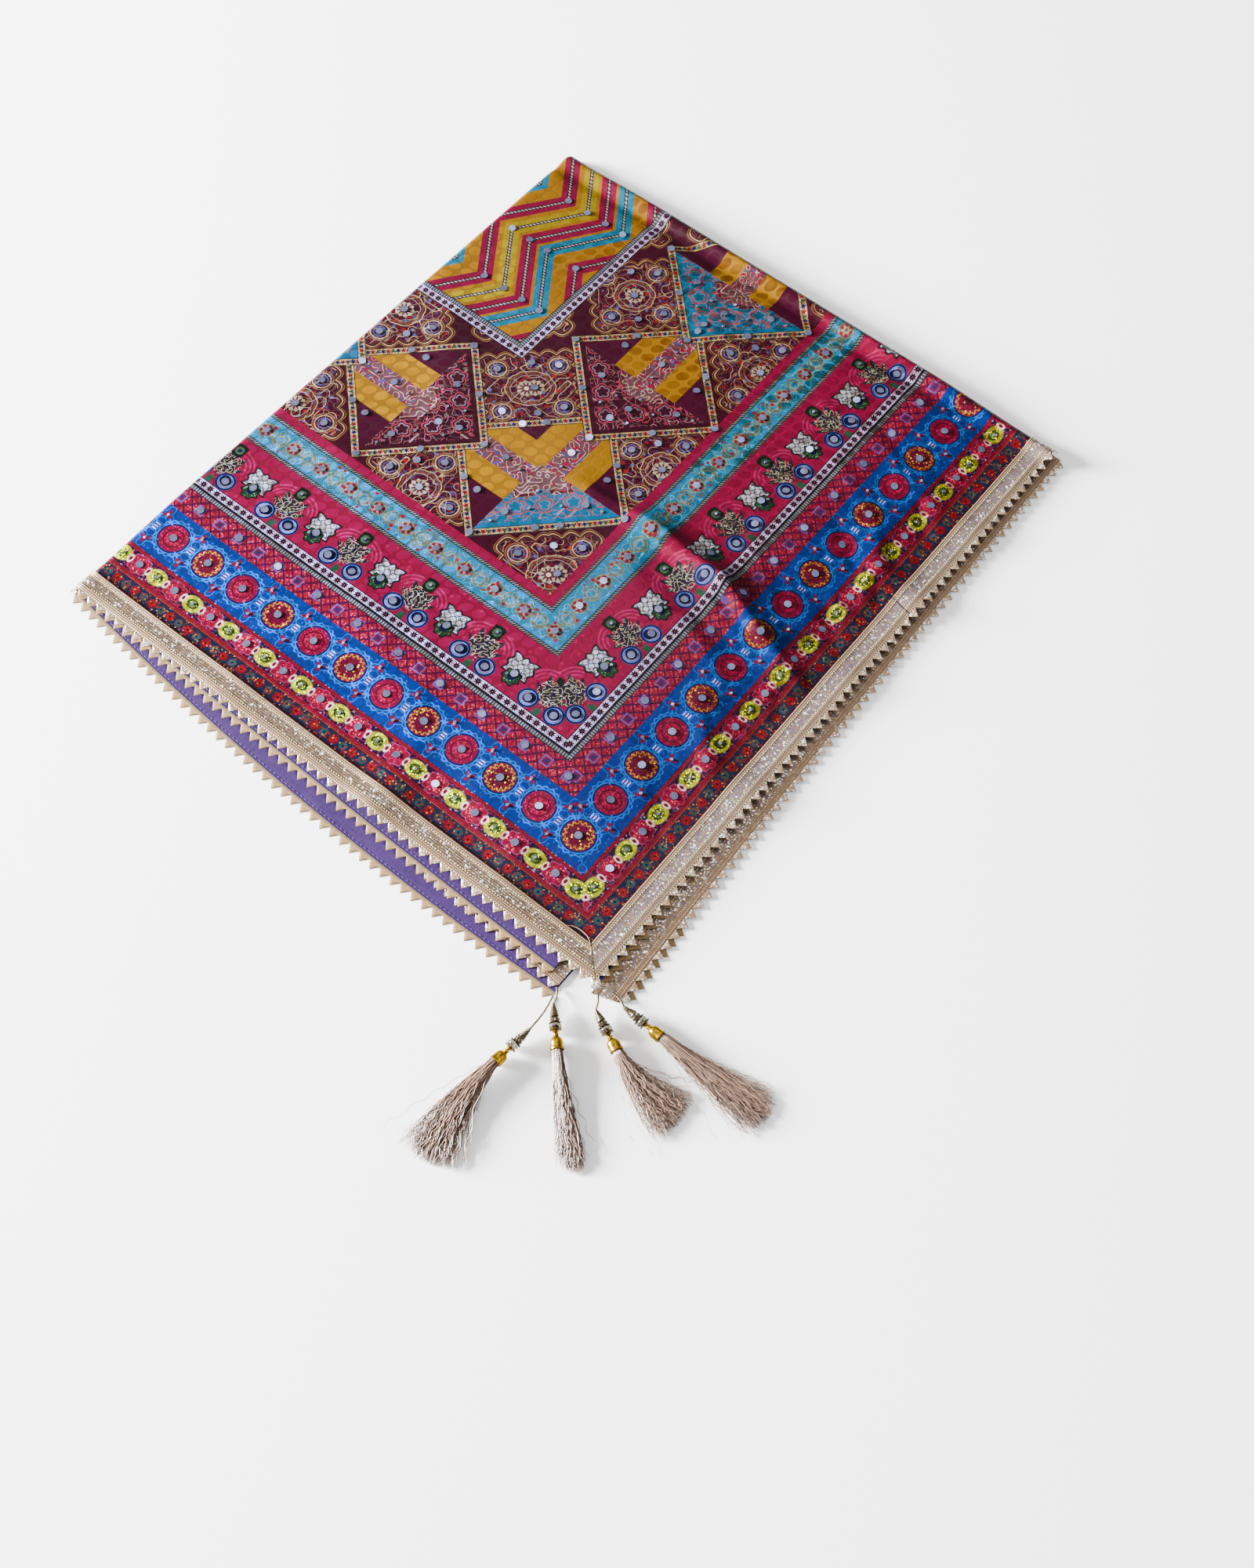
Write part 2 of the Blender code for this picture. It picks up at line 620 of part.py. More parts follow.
printed = principled("printed_satin", (0.45, 0.02, 0.09), 0.42)
printed_under = principled("printed_satin_under", (0.30, 0.02, 0.07), 0.50)
lining = principled("lining", (0.20, 0.14, 0.36), 0.65)
lace = principled("metallic_lace", (0.52, 0.43, 0.31), 0.38, 0.6)
lace_back = principled("lace_back", (0.45, 0.33, 0.20), 0.75)
silk = principled("tassel_silk", (0.50, 0.42, 0.37), 0.45)
gold = principled("polished_gold", (0.62, 0.42, 0.10), 0.20, 1.0)
filigree = principled("antique_gold", (0.40, 0.33, 0.16), 0.38, 1.0)
crystal = principled("crystal_beads", (0.72, 0.70, 0.62), 0.12, 0.4)
cord_thread = principled("metallic_cord", (0.40, 0.38, 0.34), 0.40, 0.7)

make_folded_layers()
for layer_row in rows(LAYER_COLUMNS, LAYERS):
    make_layer(layer_row)
    for run_side in ("across", "along"):
        make_layer_lace(layer_row, run_side)
make_printed_panel()
for run_side in ("across", "along"):
    make_top_lace(run_side)
for tassel_row in rows(TASSEL_COLUMNS, TASSELS):
    make_tassel(tassel_row)
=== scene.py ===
# %% [markdown]
# # A folded dupatta stole
#
# A dupatta is a long stole that is worn over the shoulders. This one is printed satin with a plain
# lining, a metallic lace border, small mirrors and four beaded tassels, and it lies folded in
# eight layers. The lesson dresses a plain model of it: the cloth and lace as thin shells, the
# print as arithmetic in the shader, and the mirrors and stitches by Geometry Nodes.
#
# First the plain model is loaded. The dressed model may hardly grow.

# %% Load the frame
import json
import math

import bmesh
import bpy
import numpy as np
from mathutils import Matrix, Vector

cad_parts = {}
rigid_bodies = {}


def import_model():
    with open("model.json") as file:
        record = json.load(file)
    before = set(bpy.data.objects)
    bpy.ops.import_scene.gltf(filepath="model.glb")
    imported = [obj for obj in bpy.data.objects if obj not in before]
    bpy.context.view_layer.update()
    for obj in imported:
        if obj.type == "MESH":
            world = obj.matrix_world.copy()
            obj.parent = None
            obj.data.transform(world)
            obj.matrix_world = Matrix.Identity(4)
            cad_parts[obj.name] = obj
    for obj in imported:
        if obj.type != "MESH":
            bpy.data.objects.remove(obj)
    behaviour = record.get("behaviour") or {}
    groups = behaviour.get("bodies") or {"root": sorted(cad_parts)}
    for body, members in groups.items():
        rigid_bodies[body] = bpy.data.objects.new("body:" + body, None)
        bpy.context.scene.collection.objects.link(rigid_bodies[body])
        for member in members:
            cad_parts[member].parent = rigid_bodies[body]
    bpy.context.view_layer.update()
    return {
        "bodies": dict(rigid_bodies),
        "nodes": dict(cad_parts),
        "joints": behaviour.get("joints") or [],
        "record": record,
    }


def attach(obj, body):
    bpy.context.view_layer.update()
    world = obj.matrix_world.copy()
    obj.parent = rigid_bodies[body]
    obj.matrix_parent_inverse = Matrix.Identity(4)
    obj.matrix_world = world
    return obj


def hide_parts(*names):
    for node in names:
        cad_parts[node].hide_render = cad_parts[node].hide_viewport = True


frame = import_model()

# %% [markdown]
# ## Camera, floor and light
#
# The camera looks down at the pile from beyond its open corner. Its axes are written out, because
# they were worked out from the pile's corners. Everything near the cloth is soft: a wide lamp
# behind the pile, on the side of the first fold, a weak one opposite, and a pale room.

# %% Camera, floor and light
def linked(name, data):
    """A new object in the scene."""
    piece = bpy.data.objects.new(name, data)
    bpy.context.scene.collection.objects.link(piece)
    return piece


FRAME_HEIGHT_PX = 2000
FOCAL_LENGTH_PX = 2335.7
SENSOR_MM = 24.0
CAMERA_PLACE = (-0.6205, -0.4725, 1.0765)
CAMERA_RIGHT = (0.6180, -0.7851, 0.0420)
CAMERA_UP = (0.6827, 0.5623, 0.4666)
CAMERA_BACK = (-0.3900, -0.2597, 0.8835)

camera_data = bpy.data.cameras.new("camera")
camera_data.sensor_fit = "VERTICAL"
camera_data.sensor_height = SENSOR_MM
camera_data.lens = SENSOR_MM * FOCAL_LENGTH_PX / FRAME_HEIGHT_PX
camera = linked("camera", camera_data)
camera.matrix_world = Matrix((CAMERA_RIGHT, CAMERA_UP, CAMERA_BACK)).transposed().to_4x4()
camera.location = CAMERA_PLACE
bpy.context.scene.camera = camera

FLOOR_SIZE = 12.0
FLOOR_GREY = 0.92

floor_mesh = bpy.data.meshes.new("floor")
half_floor = FLOOR_SIZE / 2
floor_corners = [(half_floor * x, half_floor * y, 0)
                 for x, y in ((-1, -1), (1, -1), (1, 1), (-1, 1))]
floor_mesh.from_pydata(floor_corners, [], [(0, 1, 2, 3)])
floor = linked("floor", floor_mesh)

floor_material = bpy.data.materials.new("pale_floor")
floor_material.use_nodes = True
floor_shader = floor_material.node_tree.nodes["Principled BSDF"]
floor_shader.inputs["Base Color"].default_value = (FLOOR_GREY, FLOOR_GREY, FLOOR_GREY, 1)
floor_shader.inputs["Roughness"].default_value = 0.9
floor_shader.inputs["Specular IOR Level"].default_value = 0.1
floor_mesh.materials.append(floor_material)

LAMP_COLUMNS = ("name", "place", "size", "watts")
LAMPS = (
    ("key", (-2.00, 3.20, 0.88), 1.2, 3200.0),
    ("fill", (0.3, -1.9, 1.9), 2.2, 24.0),
    ("glint", (0.86, 0.57, 1.94), 0.30, 4.0),
)
ROOM_BRIGHT_SIDE = (-0.45, 0.63, 0.63)
ROOM_DARK = 0.47
ROOM_BRIGHT = 1.25


def aimed_lamp(name, place, size, watts):
    """A square lamp that looks at the middle of the pile."""
    data = bpy.data.lights.new(name, "AREA")
    data.shape = "SQUARE"
    data.size = size
    data.energy = watts
    lamp = linked(name, data)
    lamp.location = place
    lamp.rotation_mode = "QUATERNION"
    lamp.rotation_quaternion = (-Vector(place)).to_track_quat("-Z", "Y")
    return lamp


for lamp_row in LAMPS:
    aimed_lamp(**dict(zip(LAMP_COLUMNS, lamp_row)))

room = bpy.data.worlds.new("room")
room.use_nodes = True
room_nodes = room.node_tree.nodes
looking = room_nodes.new("ShaderNodeTexCoord")
towards = room_nodes.new("ShaderNodeVectorMath")
towards.operation = "DOT_PRODUCT"
towards.inputs[1].default_value = ROOM_BRIGHT_SIDE
floored = room_nodes.new("ShaderNodeMath")
floored.operation = "MAXIMUM"
floored.inputs[1].default_value = 0.0
strength = room_nodes.new("ShaderNodeMath")
strength.operation = "MULTIPLY_ADD"
strength.inputs[1].default_value = ROOM_BRIGHT
strength.inputs[2].default_value = ROOM_DARK
background = room_nodes["Background"]
background.inputs["Color"].default_value = (1, 1, 1, 1)
room.node_tree.links.new(looking.outputs["Generated"], towards.inputs[0])
room.node_tree.links.new(towards.outputs["Value"], floored.inputs[0])
room.node_tree.links.new(floored.outputs[0], strength.inputs[0])
room.node_tree.links.new(strength.outputs[0], background.inputs["Strength"])
bpy.context.scene.world = room
print("camera lens", round(camera_data.lens, 2), "mm;", len(LAMPS), "lamps")

# %% [markdown]
# ## The form of the pile
#
# A place on the pile is given by two lengths from its open corner: "along" beside the long side
# and "across" beside the short side. One function gives the point of the printed face for such a
# place, with the soft slope, the roll at the last fold, the creases and the buckles. Every later
# piece that lies on the cloth is made with it, moved a little way out, so nothing floats or sinks.

# %% Sizes of the pile
LONG_SIDE = 0.550
SHORT_SIDE = 0.468
CLOTH = 0.0011
GAP = 0.0003
LACE_WIDTH = 0.0232
LACE_THICKNESS = 0.0010
TOOTH_HEIGHT = 0.0055
TOOTH_PITCH = 0.0089
EDGE_TOP = 0.0053
PILE_TOP = 0.0098
SLOPE = 0.090
ROLL_RADIUS = 0.0090
ROLL_TURN = 0.0160
ROLL_RISE = 0.0042
ROLL_CREST = 0.0080
ROLL_WIDTH = 0.0070
ROLL_FADE_START = 0.380
ROLL_CORNER_SHARE = 0.15
GROOVE_DEPTH = 0.0020
GROOVE_PLACE = 0.0200
GROOVE_WIDTH = 0.0065
FOLD_RADIUS = 0.0060
FOLD_TURN = 0.0105
FOLD_RISE = 0.0006
FOLD_WIDTH = 0.0120
CORNER_POINT = 0.3
CREASE_FADE = 1.5
BUCKLE_REACH = 0.028

# Creases: along, across, end_along, end_across, height, half_width
BROAD_CREASES = (
    (0.294, 0.247, 0.299, 0.190, 0.0018, 0.011),
    (0.299, 0.190, 0.292, 0.125, 0.0036, 0.012),
    (0.292, 0.125, 0.262, 0.040, 0.0026, 0.013),
    (0.272, 0.165, 0.258, 0.085, -0.0018, 0.011),
    (0.205, 0.070, 0.160, 0.030, 0.0018, 0.010),
    (0.400, 0.060, 0.352, 0.034, 0.0020, 0.011),
    (0.334, 0.066, 0.312, 0.044, -0.0008, 0.009),
    (0.455, 0.075, 0.440, 0.030, 0.0014, 0.010),
    (0.500, 0.330, 0.470, 0.250, 0.0012, 0.016),
    (0.120, 0.300, 0.080, 0.235, 0.0012, 0.017),
    (0.360, 0.430, 0.300, 0.380, 0.0010, 0.018),
    (0.060, 0.150, 0.036, 0.105, 0.0012, 0.012),
)
# Narrow creases and puckers, which the plain model leaves out.
NARROW_CREASES = (
    (0.296, 0.240, 0.300, 0.178, 0.0015, 0.0042),
    (0.298, 0.172, 0.293, 0.120, 0.0023, 0.0048),
    (0.293, 0.120, 0.278, 0.080, 0.0019, 0.0048),
    (0.278, 0.080, 0.262, 0.030, 0.0015, 0.0050),
    (0.284, 0.176, 0.281, 0.112, -0.0018, 0.0052),
    (0.281, 0.112, 0.264, 0.066, -0.0016, 0.0052),
    (0.408, 0.064, 0.392, 0.044, -0.0012, 0.0045),
    (0.366, 0.040, 0.352, 0.030, -0.0010, 0.0040),
    (0.322, 0.050, 0.308, 0.036, -0.0010, 0.0045),
    (0.246, 0.038, 0.232, 0.028, -0.0008, 0.0045),
    (0.206, 0.070, 0.190, 0.050, -0.0010, 0.0050),
    (0.346, 0.090, 0.330, 0.040, 0.0007, 0.0060),
    (0.430, 0.120, 0.404, 0.060, 0.0007, 0.0060),
    (0.470, 0.160, 0.462, 0.050, 0.0006, 0.0070),
    (0.170, 0.120, 0.120, 0.050, 0.0005, 0.0080),
    (0.090, 0.420, 0.060, 0.330, 0.0005, 0.0090),
    (0.140, 0.260, 0.060, 0.205, 0.0006, 0.0080),
    (0.230, 0.430, 0.160, 0.330, 0.0004, 0.0110),
    (0.450, 0.440, 0.380, 0.300, 0.0004, 0.0120),
    (0.520, 0.300, 0.514, 0.160, -0.0006, 0.0060),
    (0.512, 0.400, 0.508, 0.300, -0.0005, 0.0070),
    (0.440, 0.052, 0.424, 0.038, -0.0012, 0.0045),
    (0.388, 0.088, 0.366, 0.058, -0.0010, 0.0050),
    (0.330, 0.120, 0.306, 0.090, 0.0008, 0.0055),
    (0.250, 0.120, 0.232, 0.080, 0.0007, 0.0060),
    (0.130, 0.056, 0.108, 0.036, -0.0007, 0.0055),
    (0.480, 0.110, 0.466, 0.080, -0.0009, 0.0055),
)
BUCKLE_COLUMNS = ("side", "place", "height", "half_width")
BUCKLES = (
    ("across", 0.196, 0.0022, 0.018),
    ("across", 0.330, 0.0010, 0.022),
    ("across", 0.096, 0.0008, 0.016),
    ("along", 0.172, 0.0018, 0.017),
    ("along", 0.285, 0.0014, 0.020),
    ("along", 0.372, 0.0024, 0.015),
    ("along", 0.448, 0.0012, 0.015),
)


# %% The face of the pile
def rows(columns, table):
    return [dict(zip(columns, row)) for row in table]


def placed(along, across, height):
    """A place on the pile, in the frame whose origin is the middle of the underside."""
    return Vector((along - LONG_SIDE / 2, across - SHORT_SIDE / 2, height))


def bell(distance, half_width):
    return math.exp(-((distance / half_width) ** 2))


def ease(share):
    share = min(1.0, max(0.0, share))
    return share * share * (3 - 2 * share)


def crease_height(along, across, table):
    """All the ridges and troughs at a place, each fading out towards its two ends."""
    height = 0.0
    for start_along, start_across, end_along, end_across, rise, half_width in table:
        run_along = end_along - start_along
        run_across = end_across - start_across
        length = math.hypot(run_along, run_across)
        off_along = along - start_along
        off_across = across - start_across
        side = (off_along * run_across - off_across * run_along) / length
        if abs(side) < 3 * half_width:
            reach = (off_along * run_along + off_across * run_across) / length
            beyond = max(0.0, -reach, reach - length)
            height += rise * bell(side, half_width) * bell(beyond, CREASE_FADE * half_width)
    return height


def buckle_height(side, place):
    return sum(
        buckle["height"] * bell(place - buckle["place"], buckle["half_width"])
        for buckle in rows(BUCKLE_COLUMNS, BUCKLES)
        if buckle["side"] == side
    )


def inland(distance):
    return ease((distance - LACE_WIDTH) / SLOPE)


def buckle_fade(distance):
    return bell(max(0.0, distance - LACE_WIDTH), BUCKLE_REACH)


def face_height(along, across):
    """Height of the printed face above the floor, before it turns down at a fold."""
    off_crest = along - (LONG_SIDE - ROLL_CREST)
    off_groove = along - (LONG_SIDE - GROOVE_PLACE)
    off_fold = across - (SHORT_SIDE - FOLD_RADIUS)
    from_lace = min(along, across) - LACE_WIDTH
    flattening = ease((across - ROLL_FADE_START) / (SHORT_SIDE - ROLL_FADE_START))
    roll_rise = ROLL_RISE * (1 + (ROLL_CORNER_SHARE - 1) * flattening)
    return (
        EDGE_TOP
        + (PILE_TOP - EDGE_TOP) * inland(along) * inland(across)
        + roll_rise * bell(off_crest, ROLL_WIDTH)
        - GROOVE_DEPTH * bell(off_groove, GROOVE_WIDTH) * inland(across)
        + FOLD_RISE * bell(off_fold, FOLD_WIDTH)
        + crease_height(along, across, BROAD_CREASES) * ease(from_lace / LACE_WIDTH)
        + crease_height(along, across, NARROW_CREASES) * ease(from_lace / (LACE_WIDTH / 3))
        + buckle_height("across", across) * buckle_fade(along)
        + buckle_height("along", along) * buckle_fade(across)
    )


def turn_share(distance, side, radius, turn):
    """How far a place has gone round a fold: 0 on top, 1 where the cloth meets the floor."""
    past = (distance - (side - radius)) / turn
    return math.sin(math.pi / 2 * min(1.0, max(0.0, past)))


def panel_point(along, across, out=0.0):
    """A point of the printed face, moved out of it. Past the flat part it goes round the folds."""
    roll = turn_share(along, LONG_SIDE, ROLL_RADIUS, ROLL_TURN)
    fold = turn_share(across, SHORT_SIDE, FOLD_RADIUS, FOLD_TURN)
    roll_reach = roll * math.sqrt(1 - fold * fold / 2)
    fold_reach = fold * math.sqrt(1 - roll * roll / 2)
    lift = math.sqrt(max(0.0, 1 - roll_reach**2 - fold_reach**2))
    point = 1 + CORNER_POINT * (roll * fold) ** 2
    flat_along = min(along, LONG_SIDE - ROLL_RADIUS)
    flat_across = min(across, SHORT_SIDE - FOLD_RADIUS)
    return placed(
        flat_along + (ROLL_RADIUS + out) * roll_reach * point,
        flat_across + (FOLD_RADIUS + out) * fold_reach * point,
        (face_height(flat_along, flat_across) + out) * lift,
    )


def panel_normal(along, across):
    """The direction out of the printed face at a place."""
    step = 0.0008
    by_along = panel_point(along + step, across) - panel_point(along - step, across)
    by_across = panel_point(along, across + step) - panel_point(along, across - step)
    return by_along.cross(by_across).normalized()


print("height of the face in the middle", round(panel_point(0.3, 0.25).z * 1000, 2), "mm")

# %% [markdown]
# ## Arithmetic in a shader
#
# The print has no picture behind it: every motif is worked out from the place on the cloth. In the
# shader editor that would be hundreds of Maths nodes by hand, so a small class writes them. A
# Number holds one output socket, and adding or multiplying two Numbers puts a Maths node between
# them. Then a motif reads like the geometry that it is.

# %% Numbers that write Maths nodes
def feed(socket, value):
    """Links a Number or a socket into a socket, or types a plain value into it."""
    if isinstance(value, Number):
        value = value.socket
    if isinstance(value, bpy.types.NodeSocket):
        socket.node.id_data.links.new(value, socket)
    else:
        socket.default_value = value


class Number:
    """One number in a shader tree."""

    def __init__(self, socket):
        self.socket = socket

    def calc(self, operation, *others, clamp=False):
        node = self.socket.node.id_data.nodes.new("ShaderNodeMath")
        node.operation = operation
        node.use_clamp = clamp
        for socket, value in zip(node.inputs, (self, *others)):
            feed(socket, value)
        return Number(node.outputs[0])

    def __add__(self, other):
        return self.calc("ADD", other)

    def __sub__(self, other):
        return self.calc("SUBTRACT", other)

    def __mul__(self, other):
        return self.calc("MULTIPLY", other)

    def __truediv__(self, other):
        return self.calc("DIVIDE", other)

    def __abs__(self):
        return self.calc("ABSOLUTE")

    def flipped(self):
        """1 minus this number."""
        return self.calc("MULTIPLY_ADD", -1.0, 1.0)


SOFT_EDGE = 0.00035  # printed edges are a third of a millimetre soft


def below(value, edge, soft=SOFT_EDGE):
    """A mask: 1 where the value is under the edge, 0 over it, and soft between."""
    return value.calc("MULTIPLY_ADD", -1 / soft, edge / soft + 0.5, clamp=True)


def above(value, edge, soft=SOFT_EDGE):
    return value.calc("MULTIPLY_ADD", 1 / soft, 0.5 - edge / soft, clamp=True)


def line(value, centre, half, soft=SOFT_EDGE):
    return below(abs(value - centre), half, soft)


def wrapped(value, period, phase=0.0):
    """The distance from the nearest of the places that repeat with this period."""
    return (value - phase).calc("WRAP", period / 2, -period / 2)


def odd(value, period, phase=0.0):
    """1 round every second of those places, and 0 round the others."""
    return ((value - phase) / period).calc("ROUND").calc("PINGPONG", 1.0)


def radius(a, b):
    return (a * a).calc("ADD", b * b).calc("SQRT")


def angle(a, b):
    return a.calc("ARCTAN2", b)


def either(a, b):
    return a.calc("MAXIMUM", b)


def ink(code):
    """A colour of six digits, as the shader's light values."""
    channels = [int(code[i:i + 2], 16) / 255 for i in (0, 2, 4)]
    linear = [c / 12.92 if c <= 0.04045 else ((c + 0.055) / 1.055) ** 2.4 for c in channels]
    return (*linear, 1.0)


def mix_colour(tree, share, under, over, blend="MIX"):
    node = tree.nodes.new("ShaderNodeMix")
    node.data_type = "RGBA"
    node.blend_type = blend
    feed(node.inputs[0], share)
    feed(node.inputs[6], under)
    feed(node.inputs[7], over)
    return node.outputs[2]


def noise(tree, vector, scale, detail=2.0, roughness=0.5):
    node = tree.nodes.new("ShaderNodeTexNoise")
    node.inputs["Scale"].default_value = scale
    node.inputs["Detail"].default_value = detail
    node.inputs["Roughness"].default_value = roughness
    feed(node.inputs["Vector"], vector)
    return Number(node.outputs["Fac"])


def cells(tree, vector, scale):
    """Random cells: the distance to a cell's middle, and a colour for each cell."""
    node = tree.nodes.new("ShaderNodeTexVoronoi")
    node.inputs["Scale"].default_value = scale
    feed(node.inputs["Vector"], vector)
    return Number(node.outputs["Distance"]), node.outputs["Color"]


def split(tree, vector):
    node = tree.nodes.new("ShaderNodeSeparateXYZ")
    feed(node.inputs[0], vector)
    return [Number(socket) for socket in node.outputs]


def join(tree, x, y, z):
    node = tree.nodes.new("ShaderNodeCombineXYZ")
    for socket, value in zip(node.inputs, (x, y, z)):
        feed(socket, value)
    return node.outputs[0]


def new_group(name, inputs, outputs):
    """An empty node group with its named sockets, and its two end nodes."""
    tree = bpy.data.node_groups.new(name, "ShaderNodeTree")
    for label, kind in inputs:
        tree.interface.new_socket(label, in_out="INPUT", socket_type=kind)
    for label, kind in outputs:
        tree.interface.new_socket(label, in_out="OUTPUT", socket_type=kind)
    return tree, tree.nodes.new("NodeGroupInput"), tree.nodes.new("NodeGroupOutput")


def use_group(tree, group, **values):
    """A group in a tree, with its inputs fed by name."""
    node = tree.nodes.new("ShaderNodeGroup")
    node.node_tree = group
    for label, value in values.items():
        feed(node.inputs[label], value)
    return node.outputs


def new_material(name, uv_map=None):
    """An empty material, its tree, and what places its colours: a UV map or the object."""
    material = bpy.data.materials.new(name)
    material.use_nodes = True
    tree = material.node_tree
    tree.nodes.clear()
    if uv_map is None:
        return material, tree, tree.nodes.new("ShaderNodeTexCoord").outputs["Object"]
    uv = tree.nodes.new("ShaderNodeUVMap")
    uv.uv_map = uv_map
    return material, tree, uv.outputs[0]


def shaded(material, values, height=None, strength=1.0, distance=None):
    """The material with its shader: the shader's values by name, and a height that bumps it."""
    tree = material.node_tree
    shader = tree.nodes.new("ShaderNodeBsdfPrincipled")
    for label, value in values.items():
        feed(shader.inputs[label], value)
    if height is not None:
        bump = tree.nodes.new("ShaderNodeBump")
        bump.inputs["Strength"].default_value = strength
        if distance is not None:
            bump.inputs["Distance"].default_value = distance
        feed(bump.inputs["Height"], height)
        feed(shader.inputs["Normal"], bump.outputs[0])
    output = tree.nodes.new("ShaderNodeOutputMaterial")
    feed(output.inputs["Surface"], shader.outputs[0])
    return material


print("a mid red is", [round(c, 3) for c in ink("460010")])

# %% [markdown]
# ## Effects that several materials share
#
# Three node groups carry what more than one material needs. The first turns the cloth's UV map into
# the lengths that the print is laid out by: how far in from the edge, how far along the border,
# and how far up and sideways as the maker sees the corner. The second is the satin itself, with
# its woven ovals, painted lighter on the left of the pile and darker on the right as painted sheen
# and shade. The third breaks metal thread up into glitter, with painted glints in it.

# %% The cloth's own measures
VALUE = "NodeSocketFloat"
VECTOR = "NodeSocketVector"
COLOUR = "NodeSocketColor"
HALF_ROOT = math.sqrt(0.5)

places_group, group_in, group_out = new_group(
    "cloth_places",
    [("Cloth", VECTOR)],
    [("Across", VALUE), ("Along", VALUE), ("Depth", VALUE), ("Run", VALUE), ("Up", VALUE),
     ("Side", VALUE)],
)
along, across = split(places_group, group_in.outputs["Cloth"])[:2]
feed(group_out.inputs["Across"], across)
feed(group_out.inputs["Along"], along)
feed(group_out.inputs["Depth"], along.calc("MINIMUM", across))
feed(group_out.inputs["Run"], along.calc("MAXIMUM", across))
feed(group_out.inputs["Up"], (along + across) * HALF_ROOT)
feed(group_out.inputs["Side"], (along - across) * HALF_ROOT)

# %% Satin with woven ovals, which carry painted sheen and shade
OVAL_PITCH = (0.0160, 0.0136)
OVAL_HALF = (0.0050, 0.0037)
# Painted sheen and shade: the ovals are lighter on the left of the pile and darker on the right.
OVAL_PAINTED_SHEEN = (1.8, 2.0, 2.8, 1.0)  # what the ovals multiply the colour by, left and right
OVAL_PAINTED_SHADE = (0.42, 0.32, 0.26, 1.0)

satin_group, group_in, group_out = new_group(
    "satin_weave",
    [("Cloth", VECTOR), ("Colour", COLOUR)],
    [("Colour", COLOUR), ("Roughness", VALUE), ("Height", VALUE)],
)
cloth = group_in.outputs["Cloth"]
measures = use_group(satin_group, places_group, Cloth=cloth)
up, side = Number(measures["Up"]), Number(measures["Side"])
wander = noise(satin_group, cloth, 45.0, 1.0) * 0.005
ovals = None
for phase in (0.0, 0.5):
    by_side = wrapped(side + wander, OVAL_PITCH[0], OVAL_PITCH[0] * phase) / OVAL_HALF[0]
    by_up = wrapped(up + wander, OVAL_PITCH[1], OVAL_PITCH[1] * phase) / OVAL_HALF[1]
    oval = below(radius(by_side, by_up), 1.0, 0.22)
    ovals = oval if ovals is None else either(ovals, oval)
luma = satin_group.nodes.new("ShaderNodeRGBToBW")
feed(luma.inputs[0], group_in.outputs["Colour"])
# Soft patches that fade the ovals' painted sheen and shade.
sheen_patches = noise(satin_group, cloth, 70.0, 1.0).calc("MULTIPLY_ADD", 2.6, -0.5, clamp=True)
strength = ovals * sheen_patches * Number(luma.outputs[0]).calc("MULTIPLY_ADD", 24.0, 0.15, clamp=True)
# Painted shade: its share grows towards the right of the pile, away from the light.
shaded_side = (side * 5.0 + noise(satin_group, cloth, 16.0, 1.0)).calc("ADD", -0.1, clamp=True)
tone = mix_colour(satin_group, shaded_side, OVAL_PAINTED_SHEEN, OVAL_PAINTED_SHADE)
painted_sheen_colour = mix_colour(satin_group, strength, group_in.outputs["Colour"], tone, "MULTIPLY")
slub = noise(satin_group, cloth, 900.0, 2.0)
cloudy = noise(satin_group, cloth, 26.0, 3.0)
shade = cloudy.calc("MULTIPLY_ADD", 0.3, 0.85) * slub.calc("MULTIPLY_ADD", 0.24, 0.88)
shade_colour = join(satin_group, shade, shade, shade)
feed(group_out.inputs["Colour"], mix_colour(satin_group, 1.0, painted_sheen_colour, shade_colour, "MULTIPLY"))
feed(group_out.inputs["Roughness"], ovals.calc("MULTIPLY_ADD", -0.13, 0.5))
feed(group_out.inputs["Height"], ovals * 0.00012 + slub * 0.00006)

# %% Metal thread broken into glitter, with painted glints
glitter_group, group_in, group_out = new_group(
    "metal_glitter",
    [("Cloth", VECTOR), ("Grain", VALUE), ("Dark", COLOUR), ("Light", COLOUR)],
    [("Colour", COLOUR), ("Painted glint", VALUE), ("Height", VALUE)],
)
grain = glitter_group.nodes.new("ShaderNodeVectorMath")
grain.operation = "SCALE"
feed(grain.inputs[0], group_in.outputs["Cloth"])
feed(grain.inputs["Scale"], group_in.outputs["Grain"])
distance, flake_colour = cells(glitter_group, grain.outputs[0], 1.0)
flake, flake_two, flake_three = split(glitter_group, flake_colour)
patches = noise(glitter_group, group_in.outputs["Cloth"], 160.0, 2.0)
tint = (flake * 0.55 + patches * 0.6).calc("ADD", -0.1, clamp=True)
metal_colour = mix_colour(glitter_group, tint, group_in.outputs["Dark"], group_in.outputs["Light"])
# Painted glints: a few flakes are coloured near white, as if they caught the light.
painted_glint = above(flake_two, 0.92, 0.04)
feed(group_out.inputs["Colour"], mix_colour(glitter_group, painted_glint, metal_colour, ink("fafadb")))
feed(group_out.inputs["Painted glint"], painted_glint)
feed(group_out.inputs["Height"], flake_three * 0.00035)
print("groups", [group.name for group in bpy.data.node_groups])

# %% [markdown]
# ## A printed cloth, one motif over another
#
# A textile printer lays one colour over another with screens. The class below works the same way:
# it starts with a ground colour, and each call of paint lays an ink over it through a mask. Each
# band of the border gets a material of its own, because the motifs of one band are many nodes.

